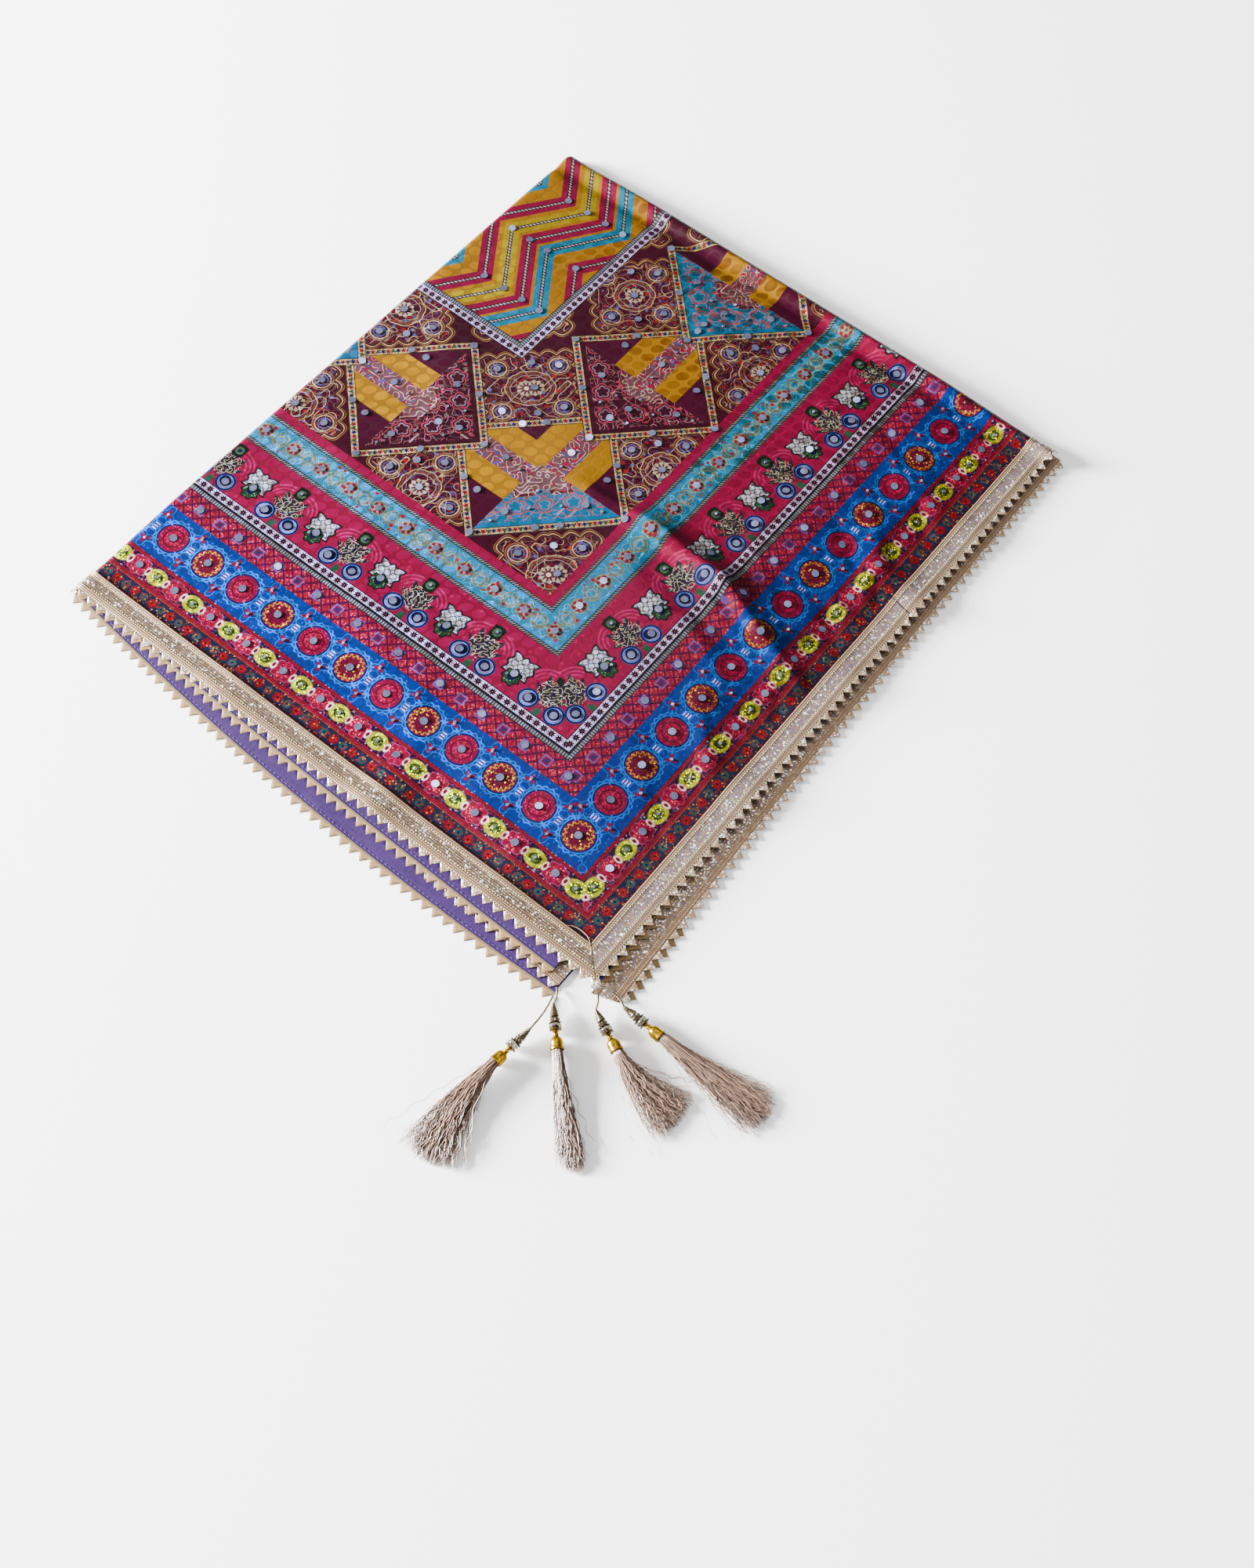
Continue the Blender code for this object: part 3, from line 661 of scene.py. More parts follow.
# %% The printer
class Print:
    """A satin material whose colour is built up by painting."""

    def __init__(self, name, ground):
        self.material, self.tree, self.cloth = new_material(name, "cloth")
        measures = use_group(self.tree, places_group, Cloth=self.cloth)
        for label in ("Across", "Along", "Depth", "Run", "Up", "Side"):
            setattr(self, label.lower(), Number(measures[label]))
        self.colour = ink(ground)

    def paint(self, mask, colour):
        self.colour = mix_colour(self.tree, mask, self.colour, ink(colour))

    def speckle(self, scale, share, colour, where=1.0):
        """Small specks of one ink, which stand for motifs too fine to see."""
        distance, tint = cells(self.tree, self.cloth, scale)
        chance = split(self.tree, tint)[0]
        self.paint(below(chance, share, 0.08) * below(distance, 0.42, 0.12) * where, colour)

    def finish(self):
        """The satin shader: an anisotropic sheen, with the weave in its bump."""
        woven = use_group(self.tree, satin_group, Cloth=self.cloth, Colour=self.colour)
        values = {
            "Base Color": woven["Colour"],
            "Roughness": woven["Roughness"],
            "Specular IOR Level": 0.06,
            "Anisotropic": 0.4,
        }
        return shaded(self.material, values, woven["Height"], 0.55, distance=1.0)


def vines(sheet, scale, level, half, colour, where=1.0):
    """Curling lines: the contour of a smooth noise at one level, like a map's contour."""
    field = noise(sheet.tree, sheet.cloth, scale, 0.0)
    sheet.paint(line(field, level, half, half * 0.8) * where, colour)


def wheel(sheet, a, b, reach, petals, edge, fill, eye, where=1.0):
    """A round flower with a scalloped edge, an inner ring of petals and an eye."""
    away = radius(a, b)
    petal = (angle(a, b) * petals).calc("COSINE")
    sheet.paint(below(away - petal * (reach * 0.08), reach) * where, edge)
    sheet.paint(below(away + petal * (reach * 0.22), reach * 0.66) * where, fill)
    sheet.paint(below(away, reach * 0.26) * where, eye)


# %% [markdown]
# ## The bands of the border
#
# From the lace inwards the border has a maroon band of small flowers, a band of rosettes, a blue
# band of medallions, a red lattice, a ladder with a line of stars, a broad crimson band and a
# turquoise vine. Each motif's size and spacing is measured from the pile.

# %% Narrow bands next to the lace
BAND_ENDS = {
    "flower_band": 0.0360,
    "rosette_band": 0.0569,
    "medallion_band": 0.0957,
    "lattice_band": 0.1143,
    "star_band": 0.1269,
    "crimson_band": 0.1723,
    "vine_band": 0.2084,
    "patchwork": 0.3586,
    "inner_star_band": 0.3698,
    "chevrons": 1.0,
}
MEDALLION_START = 0.0768
MEDALLION_PITCH = 0.0332
prints = {}

sheet = Print("flower_band", "190107")
sheet.paint(line(sheet.depth, 0.0296, 0.0046), "050b1b")
a = wrapped(sheet.run, 0.0084, 0.0300)
second = odd(sheet.run, 0.0084, 0.0300)
b = sheet.depth - 0.0296
wheel(sheet, a, b, 0.0036, 6.0, "380105", "4a0109", "1e0101", second.flipped())
wheel(sheet, a, b, 0.0031, 5.0, "251714", "072326", "020205", second)
sheet.speckle(520.0, 0.3, "4a0608")
sheet.speckle(700.0, 0.14, "624416")
sheet.paint(above(sheet.depth, 0.0346), "2d0104")
sheet.paint(line(sheet.depth, 0.0352, 0.0005), "45120f")
prints["flower_band"] = sheet.finish()

sheet = Print("rosette_band", "0b0112")
b = sheet.depth - 0.0465
a = wrapped(sheet.run, 0.0170, 0.0545)
second = odd(sheet.run, 0.0170, 0.0545)
sheet.speckle(480.0, 0.34, "3f020d")
sheet.speckle(420.0, 0.30, "061a2c")
vines(sheet, 220.0, 0.5, 0.03, "4b051c")
sheet.speckle(620.0, 0.12, "435463")
oval = a * 0.86
wheel(sheet, oval, b, 0.0074, 8.0, "420013", "50001a", "2d0104", second)
rim = radius(oval, b) - (angle(oval, b) * 8.0).calc("COSINE") * 0.0006
sheet.paint(line(rim, 0.0074, 0.0004) * second, "521329")
sheet.speckle(900.0, 0.3, "a43933", below(radius(oval, b), 0.0060) * second)
away = radius(a * 0.78, b)
lemon = second.flipped()
sheet.paint(below(away, 0.0062) * lemon, "0c1a07")
sheet.paint(line(away, 0.0050, 0.0013, 0.0008) * lemon, "595900")
sheet.paint(below(radius(a, b), 0.0028) * lemon, "2b3413")
sheet.speckle(850.0, 0.3, "dada00", below(away, 0.0058) * lemon)
eye = wrapped(sheet.run, 0.0170, 0.0630)
eye_away = radius(eye, b * 0.6)
sheet.paint(below(eye_away, 0.0021), "866a63")
sheet.paint(below(eye_away, 0.0011), "32010c")
for edge in (0.0374, 0.0552):
    sheet.paint(line(sheet.depth, edge, 0.0011), "45010d")
    sheet.paint(line(sheet.depth, edge, 0.0002), "1e0107")
prints["rosette_band"] = sheet.finish()

# %% The blue band of medallions
sheet = Print("medallion_band", "011241")
b = sheet.depth - 0.0765
a = wrapped(sheet.run, MEDALLION_PITCH, MEDALLION_START)
second = odd(sheet.run, MEDALLION_PITCH, MEDALLION_START)
halfway = wrapped(sheet.run, MEDALLION_PITCH, MEDALLION_START + MEDALLION_PITCH / 2)
away = radius(a, b)
turn = angle(a, b)
ripple = (turn * 18.0).calc("COSINE")
sheet.paint(line(away - ripple * 0.0006, 0.0142, 0.0006, 0.0006), "00346d")
sheet.paint(line(away, 0.0124, 0.0005), "003569")
sheet.paint(line(away, 0.0114, 0.0006), "010224")
side_run = abs(b)
spray = side_run - (halfway * 260.0).calc("COSINE") * 0.002
sheet.paint(line(spray, 0.0086, 0.0006, 0.0006) * below(abs(halfway), 0.0085), "003a73")
sprig = radius(halfway, side_run - 0.0120)
leaf = (angle(halfway, side_run - 0.0120) * 3.0).calc("COSINE")
sheet.paint(below(sprig - leaf * 0.0016, 0.0026), "400112")
sheet.paint(line(sprig - leaf * 0.0022, 0.0052, 0.0004), "003263")
sheet.paint(below(sprig, 0.0008), "d18386")
box = either(abs(halfway) * 2.2, side_run)
sheet.paint(below(box, 0.0042), "041b4d")
sheet.paint(below(box, 0.0016), "450114")
stripes = line(wrapped(b, 0.0022), 0.0, 0.0004)
sheet.paint(below(box, 0.0039) * stripes, "607abf")
sheet.paint(below(away, 0.0108), "3e0015")
speck_zone = below(away, 0.0104) * second
sheet.speckle(1000.0, 0.34, "7c0028", speck_zone)
sheet.paint(line(away, 0.0072, 0.0004) * second, "260005")
sheet.paint(below((turn * 8.0).calc("COSINE") * 0.0012 + away, 0.0046) * second, "5c001a")
wheel_zone = second.flipped()
zigzag = (turn * 16.0).calc("COSINE")
sheet.paint(line(away + zigzag * 0.0010, 0.0090, 0.0005) * wheel_zone, "644e00")
petals = (turn * 8.0).calc("COSINE")
sheet.paint(below(away - petals * 0.0014, 0.0068) * wheel_zone, "160107")
sheet.paint(below(away - petals * 0.0014, 0.0060) * wheel_zone, "330110")
sheet.speckle(700.0, 0.12, "ac8f00", below(away, 0.0100) * wheel_zone)
sheet.paint(below(away, 0.0034), "1e010a")
sheet.speckle(620.0, 0.1, "022b5e", above(away, 0.0150))
prints["medallion_band"] = sheet.finish()

# %% The red lattice, and the ladder with its stars
sheet = Print("lattice_band", "410112")
lattice_up = wrapped(sheet.up, 0.0062)
lattice_side = wrapped(sheet.side, 0.0062, 0.0031)
sheet.paint(below(radius(lattice_up, lattice_side), 0.0023), "500514")
sheet.speckle(800.0, 0.3, "812622")
for measure in (sheet.up, sheet.side):
    sheet.paint(line(wrapped(measure, 0.0062, 0.0031), 0.0, 0.0006, 0.0005), "1e0118")
a = wrapped(sheet.run, 0.0186, 0.1085)
square = either(abs(a), abs(sheet.depth - 0.1050))
sheet.paint(below(square, 0.0038), "35234a")
sheet.paint(below(square, 0.0027), "3c0214")
sheet.paint(below(square, 0.0016), "140b2a")
prints["lattice_band"] = sheet.finish()


def paint_ladder(sheet, centre, half):
    """A grey rope ladder between two dark lines."""
    sheet.paint(line(sheet.depth, centre, half), "0a090e")
    rung = wrapped(sheet.run, 0.0021)
    sheet.paint(line(sheet.depth, centre, half * 0.68) * line(rung, 0.0, 0.0006), "424244")


def paint_stars(sheet, centre, half):
    """A white line with dark stars on it, between thin black edges."""
    sheet.paint(line(sheet.depth, centre, half + 0.0007), "010102")
    sheet.paint(line(sheet.depth, centre, half), "6c5e77")
    a = wrapped(sheet.run, 0.0064, 0.0032)
    b = sheet.depth - centre
    away = radius(a, b)
    points = (angle(a, b) * 8.0).calc("COSINE")
    sheet.paint(below(away - points * 0.0006, 0.0024), "0a0102")
    sheet.paint(below(away, 0.0006), "3b1827")


sheet = Print("star_band", "010102")
paint_ladder(sheet, 0.1165, 0.0021)
paint_stars(sheet, 0.1230, 0.0031)
prints["star_band"] = sheet.finish()

sheet = Print("inner_star_band", "010102")
paint_stars(sheet, 0.3625, 0.0031)
paint_ladder(sheet, 0.3677, 0.0019)
prints["inner_star_band"] = sheet.finish()

# %% The broad crimson band
CROWN_PITCH = 0.0605
CROWN_PLACE = 0.1865

sheet = Print("crimson_band", "460018")
crown = wrapped(sheet.run, CROWN_PITCH, CROWN_PLACE)
middle = wrapped(sheet.run, CROWN_PITCH, CROWN_PLACE + CROWN_PITCH / 2)
depth = sheet.depth
sheet.speckle(300.0, 0.12, "57001b")
for at in (0.0090, 0.0120, 0.0150):
    plume = radius(abs(middle) - 0.0060, depth - 0.1480)
    feather = line(plume, at, 0.0005, 0.0010) * above(depth, 0.1500) * above(abs(middle), 0.0065)
    sheet.paint(feather * noise(sheet.tree, sheet.cloth, 500.0, 1.0), "6d153b")
foliage = radius(middle, depth - 0.1470)
fronds = (angle(middle, depth - 0.1370) * 14.0).calc("COSINE")
sheet.paint(below(foliage - fronds * 0.0035, 0.0108), "0e0910")
sheet.speckle(480.0, 0.50, "3b3e32", below(foliage - fronds * 0.0035, 0.0104))
vines(sheet, 330.0, 0.5, 0.03, "69614b", below(foliage, 0.0110))
sheet.speckle(420.0, 0.25, "060216", below(foliage, 0.0090))
square = either(abs(middle), abs(depth - 0.1610))
sheet.paint(below(square - fronds * 0.0006, 0.0054), "020805")
sheet.paint(below(radius(middle, depth - 0.1610), 0.0034), "1b2b19")
sheet.paint(below(radius(middle, depth - 0.1610), 0.0016), "04041d")
green = either(abs(middle) * 1.4, abs(depth - 0.1290))
sheet.paint(below(green, 0.0034), "0d2417")
disc_side = abs(middle) - 0.0112
disc = radius(disc_side, depth - 0.1345)
sheet.paint(below(disc, 0.0077), "131732")
sheet.paint(below(disc, 0.0072), "010118")
spiral = radius(disc_side + 0.0012, depth - 0.1355)
sheet.paint(line(disc, 0.0056, 0.0004) * above(spiral, 0.0042), "2b407b")
sheet.paint(line(disc, 0.0044, 0.0006) * above(spiral, 0.0042), "464054")
block = either(abs(crown) * 0.78, abs(depth - 0.1500))
lobes = (angle(crown, depth - 0.1500) * 8.0).calc("COSINE")
sheet.paint(below(block - lobes * 0.0008, 0.0082), "010101")
sheet.paint(below(block - lobes * 0.0008, 0.0073), "232229")
sheet.paint(below(block - lobes * 0.0008, 0.0068), "6d6d70")
bubbles = radius(wrapped(crown, 0.0052), wrapped(depth, 0.0050, 0.1500))
sheet.paint(below(block, 0.0070) * line(bubbles, 0.0023, 0.0003), "0e0c12")
vines(sheet, 300.0, 0.46, 0.030, "16141b", below(block, 0.0072))
flower = radius(crown, depth - 0.1400)
scallop = (angle(crown, depth - 0.1400) * 7.0).calc("COSINE")
sheet.paint(below(flower - scallop * 0.0008, 0.0070), "010101")
sheet.paint(below(flower - scallop * 0.0008, 0.0060), "081a0e")
sheet.speckle(700.0, 0.4, "2e4223", below(flower, 0.0058))
sheet.paint(below(flower, 0.0026), "020118")
prints["crimson_band"] = sheet.finish()

# %% The turquoise vine
VINE_PITCH = 0.0270
VINE_PLACE = 0.1870

sheet = Print("vine_band", "013f57")
depth = sheet.depth
middle_depth = 0.1870
wave = (sheet.run - VINE_PLACE).calc("MULTIPLY", 2 * math.pi / VINE_PITCH).calc("COSINE")
swirl = radius(wrapped(sheet.run, VINE_PITCH / 2, VINE_PLACE), depth - middle_depth)
for at in (0.0034, 0.0058):
    sheet.paint(line(swirl, at, 0.0005), "524922")
sheet.paint(line(depth - wave * 0.0058, middle_depth, 0.0007), "3f3a1f")
sheet.paint(line(depth + wave * 0.0058, middle_depth, 0.0004), "293322")
field = line(depth, middle_depth, 0.0102)
vines(sheet, 120.0, 0.50, 0.012, "333021", field)
vines(sheet, 150.0, 0.44, 0.013, "232b27", field)
vines(sheet, 190.0, 0.58, 0.009, "397786", field)
sheet.speckle(270.0, 0.10, "4a050c", field)
a = wrapped(sheet.run, VINE_PITCH, VINE_PLACE)
b = depth - middle_depth
wheel(sheet, a, b, 0.0048, 6.0, "41040d", "544833", "1c2325")
for edge in (0.1740, 0.1998):
    sheet.paint(line(depth, edge, 0.0017), "040407")
    twist = wrapped(sheet.run + depth * 0.8, 0.0022)
    sheet.paint(line(depth, edge, 0.0011) * line(twist, 0.0, 0.0006), "403d37")
sheet.paint(above(depth, 0.2014), "460018")
prints["vine_band"] = sheet.finish()

# %% [markdown]
# ## The patchwork in the middle
#
# The middle of the print looks like joined squares that stand upright to the corner. The cloth
# mirrors left and right of its middle, so the distance from the middle serves for both sides.
# Three kinds of square are painted over an ornate maroon ground, each with a cream frame.

# %% Patchwork squares
MIDDLE_SIDE = 0.0035
SQUARE_HALF = 0.050
FRAME_WIDTH = 0.0065
SQUARE_COLUMNS = ("side", "up", "ground", "floral")
SQUARES = (
    (0.009, 0.399, "003045", "681b0c"),
    (0.085, 0.4755, "180007", "5a1923"),
    (0.169, 0.561, "003045", "681b0c"),
)


ORNATE_PITCH = (0.0850, 0.0835)
ORNATE_PLACE = (0.0030, 0.4785)


def paint_ornate(sheet, side, up):
    """Gold and cream double lines in lobes round a medallion, with curling vines between."""
    a = wrapped(side, ORNATE_PITCH[0], ORNATE_PLACE[0])
    b = wrapped(up, ORNATE_PITCH[1], ORNATE_PLACE[1])
    wide, high = abs(a), abs(b)
    box = either(wide, high)
    lobes = (wide.calc("MINIMUM", high) * (math.pi / 0.0130)).calc("COSINE").calc("ABSOLUTE")
    edge = box - lobes * 0.0042
    away = radius(a, b)
    inside = below(edge, 0.0275)
    vines(sheet, 150.0, 0.50, 0.022, "24132d", inside)
    vines(sheet, 120.0, 0.44, 0.016, "3e2e1d", inside)
    vines(sheet, 170.0, 0.56, 0.018, "3c0708", inside)
    vines(sheet, 100.0, 0.52, 0.011, "67573c", inside)
    sheet.speckle(230.0, 0.10, "4f0405", inside)
    sheet.speckle(300.0, 0.10, "262b4d", inside)
    for at, colour in ((0.0320, "422a11"), (0.0302, "65502f"), (0.0282, "24120c")):
        sheet.paint(line(edge, at, 0.0004), colour)
    curl = radius(wide - 0.0200, high - 0.0200)
    for at, colour in ((0.0088, "432e18"), (0.0070, "67573c"), (0.0046, "242949")):
        sheet.paint(line(curl, at, 0.0004), colour)
    sheet.paint(below(curl, 0.0022), "4a020c")
    for at, colour in ((0.0150, "5c4d34"), (0.0132, "3b1c0e"), (0.0112, "453932")):
        sheet.paint(line(away - lobes * 0.001, at, 0.0004), colour)
    wheel(sheet, a, b, 0.0070, 10.0, "5d5241", "2b0f14", "776b58")


def paint_square(sheet, side, up, ground, floral):
    """One square: florals below its diagonal, ochre bands and maroon corners above it."""
    across_square = (sheet.fold_side - side) / SQUARE_HALF
    up_square = (sheet.up - up) / SQUARE_HALF
    edge = either(abs(across_square), abs(up_square))
    inside = below(edge, 1.0, 0.012)
    total = across_square + up_square
    skew = abs(across_square - up_square)
    lower = below(total, 0.0, 0.012) * inside
    upper = above(total, 0.0, 0.012) * inside
    sheet.paint(lower, ground)
    field = lower * below(edge, 0.80, 0.02)
    vines(sheet, 110.0, 0.50, 0.013, floral, field)
    vines(sheet, 150.0, 0.55, 0.013, "32282d", field)
    vines(sheet, 130.0, 0.43, 0.012, "543f3c", field)
    sheet.speckle(240.0, 0.10, floral, field)
    sheet.speckle(260.0, 0.08, "322b2b", field)
    bloom_a = wrapped(across_square, 0.44, -0.20)
    bloom_b = wrapped(up_square, 0.44, -0.54)
    bloom = radius(bloom_a, bloom_b)
    petals = abs((angle(bloom_a, bloom_b) * 2.5).calc("COSINE"))
    sheet.paint(below(bloom - petals * 0.045, 0.130, 0.012) * field, ground)
    sheet.paint(line(bloom - petals * 0.045, 0.110, 0.010, 0.012) * field, floral)
    sheet.paint(line(bloom - petals * 0.035, 0.070, 0.010, 0.012) * field, "46363d")
    sheet.paint(upper, "1e000c")
    sheet.paint(upper * below(skew, 0.80, 0.012), "543700")
    strip = upper * below(skew, 0.25, 0.012)
    sheet.paint(strip, "331d20")
    vines(sheet, 210.0, 0.50, 0.040, "685647", strip)
    vines(sheet, 210.0, 0.44, 0.040, "450115", strip)
    sheet.speckle(260.0, 0.25, "4a0117", strip)
    sheet.speckle(330.0, 0.22, "1b1f48", strip)
    bracket = either(abs(across_square + 0.04), abs(up_square + 0.08))
    tip = below(bracket, 0.30, 0.012) * above(total, -0.42, 0.012) * lower
    sheet.paint(tip, "331d20")
    sheet.paint(line(bracket, 0.27, 0.018, 0.01) * tip, "24020c")
    vines(sheet, 200.0, 0.50, 0.035, "685647", tip)
    sheet.speckle(300.0, 0.30, "450517", tip)
    frame = inside * above(edge, 1 - FRAME_WIDTH / SQUARE_HALF, 0.010)
    sheet.paint(frame, "0f0203")
    band = line(edge, 1 - FRAME_WIDTH / SQUARE_HALF / 2, 0.052, 0.008) * inside
    sheet.paint(band, "675634")
    upright = above(abs(across_square) - abs(up_square), 0.0, 0.01)
    run = sheet.up * upright + sheet.fold_side * upright.flipped()
    centre = (edge - (1 - FRAME_WIDTH / SQUARE_HALF / 2)) * SQUARE_HALF
    vines(sheet, 300.0, 0.50, 0.022, "231c12", band)
    for place, colour, points in ((0.0, "40010c", 5.0), (0.0032, "040224", 6.0),
                                  (0.0064, "1d1d16", 3.0)):
        a = wrapped(run, 0.0114, place * 1.19)
        mark = radius(a, centre)
        star = (angle(a, centre) * points).calc("COSINE")
        sheet.paint(below(mark - star * 0.0005, 0.0017) * band, colour)


sheet = Print("patchwork", "190007")
sheet.fold_side = abs(sheet.side - MIDDLE_SIDE)
paint_ornate(sheet, sheet.fold_side, sheet.up)
for row in SQUARES:
    paint_square(sheet, **dict(zip(SQUARE_COLUMNS, row)))
prints["patchwork"] = sheet.finish()

# %% The chevrons beyond
CHEVRON_SLOPE = 0.67
CHEVRON_PITCH = 0.1026
CHEVRON_PLACE = 0.454
CHEVRON_PERIOD = 0.0832
CHEVRON_COLOURS = ((0.4675, "400015"), (0.4481, "514200"), (0.4302, "400015"), (0.4129, "003746"))

sheet = Print("chevrons", "503300")
bend = abs(wrapped(sheet.along, CHEVRON_PITCH, CHEVRON_PLACE))
level = sheet.across + bend * CHEVRON_SLOPE
for place, colour in CHEVRON_COLOURS:
    offset = wrapped(level, CHEVRON_PERIOD, place)
    sheet.paint(line(offset, 0.0, 0.0073), colour)
    chain = line(offset, 0.0, 0.0018)
    sheet.paint(chain, "080305")
    bead = radius(offset, wrapped(bend * 1.2, 0.0030))
    sheet.paint(below(bead, 0.0011), "554d49")
prints["chevrons"] = sheet.finish()
node_count = sum(len(m.node_tree.nodes) for m in prints.values())
print("printed materials", len(prints), "with", node_count, "nodes")

# %% [markdown]
# ## The printed cloth
#
# The top layer is a thin sheet with two faces. It is a grid of points from the face function, and
# its lines fall on the ends of the bands, so each band's material starts on a real edge. The UV map
# holds the place on the cloth in metres, which is what the print is drawn by. The folds' sides get
# shallow grooves, because several layers lie one on another there.

# %% Sheets from grids of points
SATIN = 0.0008
SHEET_STEP = 0.0030
TURN_LINES = 12
FOLD_LAYERS = 4
FOLD_GROOVE = 0.0005


def mesh_piece(name, verts, faces, places, materials, picks):
    """A mesh object with the cloth's places in its UV map, one material index for each face."""
    mesh = bpy.data.meshes.new(name)
    mesh.from_pydata([tuple(vert) for vert in verts], [], faces)
    uv = mesh.uv_layers.new(name="cloth")
    for loop in mesh.loops:
        uv.data[loop.index].uv = places[loop.vertex_index]
    for material in materials:
        mesh.materials.append(material)
    mesh.polygons.foreach_set("material_index", picks)
    bm = bmesh.new()
    bm.from_mesh(mesh)
    bmesh.ops.remove_doubles(bm, verts=bm.verts, dist=0.00001)
    bmesh.ops.dissolve_degenerate(bm, edges=bm.edges, dist=0.00001)
    bmesh.ops.recalc_face_normals(bm, faces=bm.faces)
    if bm.calc_volume(signed=True) < 0:
        bmesh.ops.reverse_faces(bm, faces=bm.faces)
    bm.to_mesh(mesh)
    bm.free()
    mesh.shade_smooth()
    mesh.set_sharp_from_angle(angle=math.radians(50))
    return linked(name, mesh)


def sheet_piece(name, top, under, places, materials, pick):
    """A closed sheet between two grids of points of the same size."""
    lines, points = len(top), len(top[0])
    verts = [p for grid in (top, under) for row in grid for p in row]
    flat_places = [place for row in places for place in row] * 2
    faces, picks = [], []
    for side in (0, 1):
        first = side * lines * points
        for i in range(lines - 1):
            for j in range(points - 1):
                at = first + i * points + j
                ring = (at, at + points, at + points + 1, at + 1)
                faces.append(ring[::-1] if side else ring)
                ends = places[i][j], places[i + 1][j + 1]
                middle = [(ends[0][k] + ends[1][k]) / 2 for k in (0, 1)]
                picks.append(pick(*middle, side))
    rim = [(i, 0) for i in range(lines)]
    rim += [(lines - 1, j) for j in range(1, points)]
    rim += [(i, points - 1) for i in range(lines - 2, -1, -1)]
    rim += [(0, j) for j in range(points - 2, 0, -1)]
    lower = lines * points
    for (i, j), (k, m) in zip(rim, rim[1:] + rim[:1]):
        a, b = i * points + j, k * points + m
        faces.append((b, a, a + lower, b + lower))
        picks.append(pick(*places[i][j], 1))
    return mesh_piece(name, verts, faces, flat_places, materials, picks)


def grid_lines(start, flat_end, turn, step=SHEET_STEP):
    """Where the sheet has lines: at the bands' ends, evenly between, and closer round the fold."""
    stops = [start, LACE_WIDTH] + sorted(end for end in BAND_ENDS.values() if end < flat_end)
    stops.append(flat_end)
    spots = [start]
    for low, high in zip(stops, stops[1:]):
        count = max(1, round((high - low) / step))
        spots += [low + (high - low) * (i + 1) / count for i in range(count)]
    spots += [flat_end + turn * (i + 1) / TURN_LINES for i in range(TURN_LINES)]
    return spots


def band_index(along, across, side=0):
    depth = min(along, across)
    return next(i for i, end in enumerate(BAND_ENDS.values()) if depth < end)


def fold_groove(along, across):
    """How far the face lies in at a fold's side, between two of the folded layers."""
    past_roll = max(0.0, along - (LONG_SIDE - ROLL_RADIUS)) / ROLL_TURN
    past_fold = max(0.0, across - (SHORT_SIDE - FOLD_RADIUS)) / FOLD_TURN
    past = min(1.0, max(past_roll, past_fold))
    layers = FOLD_LAYERS if past_fold > past_roll else FOLD_LAYERS / 2
    height = math.cos(math.pi / 2 * past)
    groove = (1 + math.cos(2 * math.pi * layers * height)) / 2
    return FOLD_GROOVE * groove * ease((past - 0.35) / 0.2) * ease((1 - past) / 0.1)


alongs = grid_lines(TOOTH_HEIGHT, LONG_SIDE - ROLL_RADIUS, ROLL_TURN)
acrosses = grid_lines(TOOTH_HEIGHT, SHORT_SIDE - FOLD_RADIUS, FOLD_TURN)
places = [[(a, b) for b in acrosses] for a in alongs]
face = [[panel_point(a, b, -fold_groove(a, b)) for b in acrosses] for a in alongs]
back = [[panel_point(a, b, -SATIN) for b in acrosses] for a in alongs]
band_materials = [prints[name] for name in BAND_ENDS]
panel = sheet_piece("printed_cloth", face, back, places, band_materials, band_index)
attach(panel, "root")
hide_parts("printed_panel")
panel_size = (acrosses[-1] - acrosses[0], alongs[-1] - alongs[0])
print("printed cloth", len(panel.data.polygons), "faces")
print("from", len(alongs), "by", len(acrosses), "lines")

# %% [markdown]
# ## The lining and the hidden layers
#
# The lining is a plain purple fabric with slubs, which are thicker places in its threads. It shows
# face up on two of the lower layers. The hidden layers between the folds are one closed piece:
# its underside shows the print again, because the stole is folded with the print outwards.

# %% Lining
def lining_material():
    material, tree, cloth = new_material("lining", "cloth")
    along, across = split(tree, cloth)[:2]
    long_slubs = noise(tree, join(tree, along * 700.0, across * 90.0, 0.0), 1.0, 2.0)
    cross_slubs = noise(tree, join(tree, along * 90.0, across * 700.0, 3.0), 1.0, 2.0)
    slubs = either(long_slubs, cross_slubs)
    cloudy = noise(tree, cloth, 40.0, 3.0)
    threads = (along * 9000.0).calc("SINE") * (across * 9000.0).calc("SINE")
    tone = (slubs * 1.1 + cloudy * 0.5 - 0.35).calc("ADD", 0.0, clamp=True)
    colour = mix_colour(tree, tone, ink("120427"), ink("372151"))
    values = {
        "Base Color": colour,
        "Roughness": 0.72,
        "Sheen Weight": 0.05,
        "Specular IOR Level": 0.06,
    }
    return shaded(material, values, slubs * 0.0003 + threads * 0.00003, 0.6)


lining = lining_material()

# %% Hidden layers
CORE_START = 0.048
CORE_STEP = 0.0100


def core_lines(low, flat_end, turn):
    """The grid of the hidden layers, coarser than the face because nothing of it is seen close."""
    return [place for place in grid_lines(low, flat_end, turn, CORE_STEP) if place >= low]


core_alongs = [CORE_START] + core_lines(0.0569, LONG_SIDE - ROLL_RADIUS, ROLL_TURN)
core_acrosses = [CORE_START] + core_lines(0.0569, SHORT_SIDE - FOLD_RADIUS, FOLD_TURN)
core_alongs = sorted(set(core_alongs))
core_acrosses = sorted(set(core_acrosses))
under_panel = -(CLOTH + GAP)
core_places = [[(a, b) for b in core_acrosses] for a in core_alongs]
core_top = [[panel_point(a, b, under_panel) for b in core_acrosses] for a in core_alongs]
core_foot = [[Vector((p.x, p.y, 0.0)) for p in row] for row in core_top]
core_materials = band_materials + [lining]


def core_pick(along, across, side):
    return band_index(along, across) if side else len(core_materials) - 1


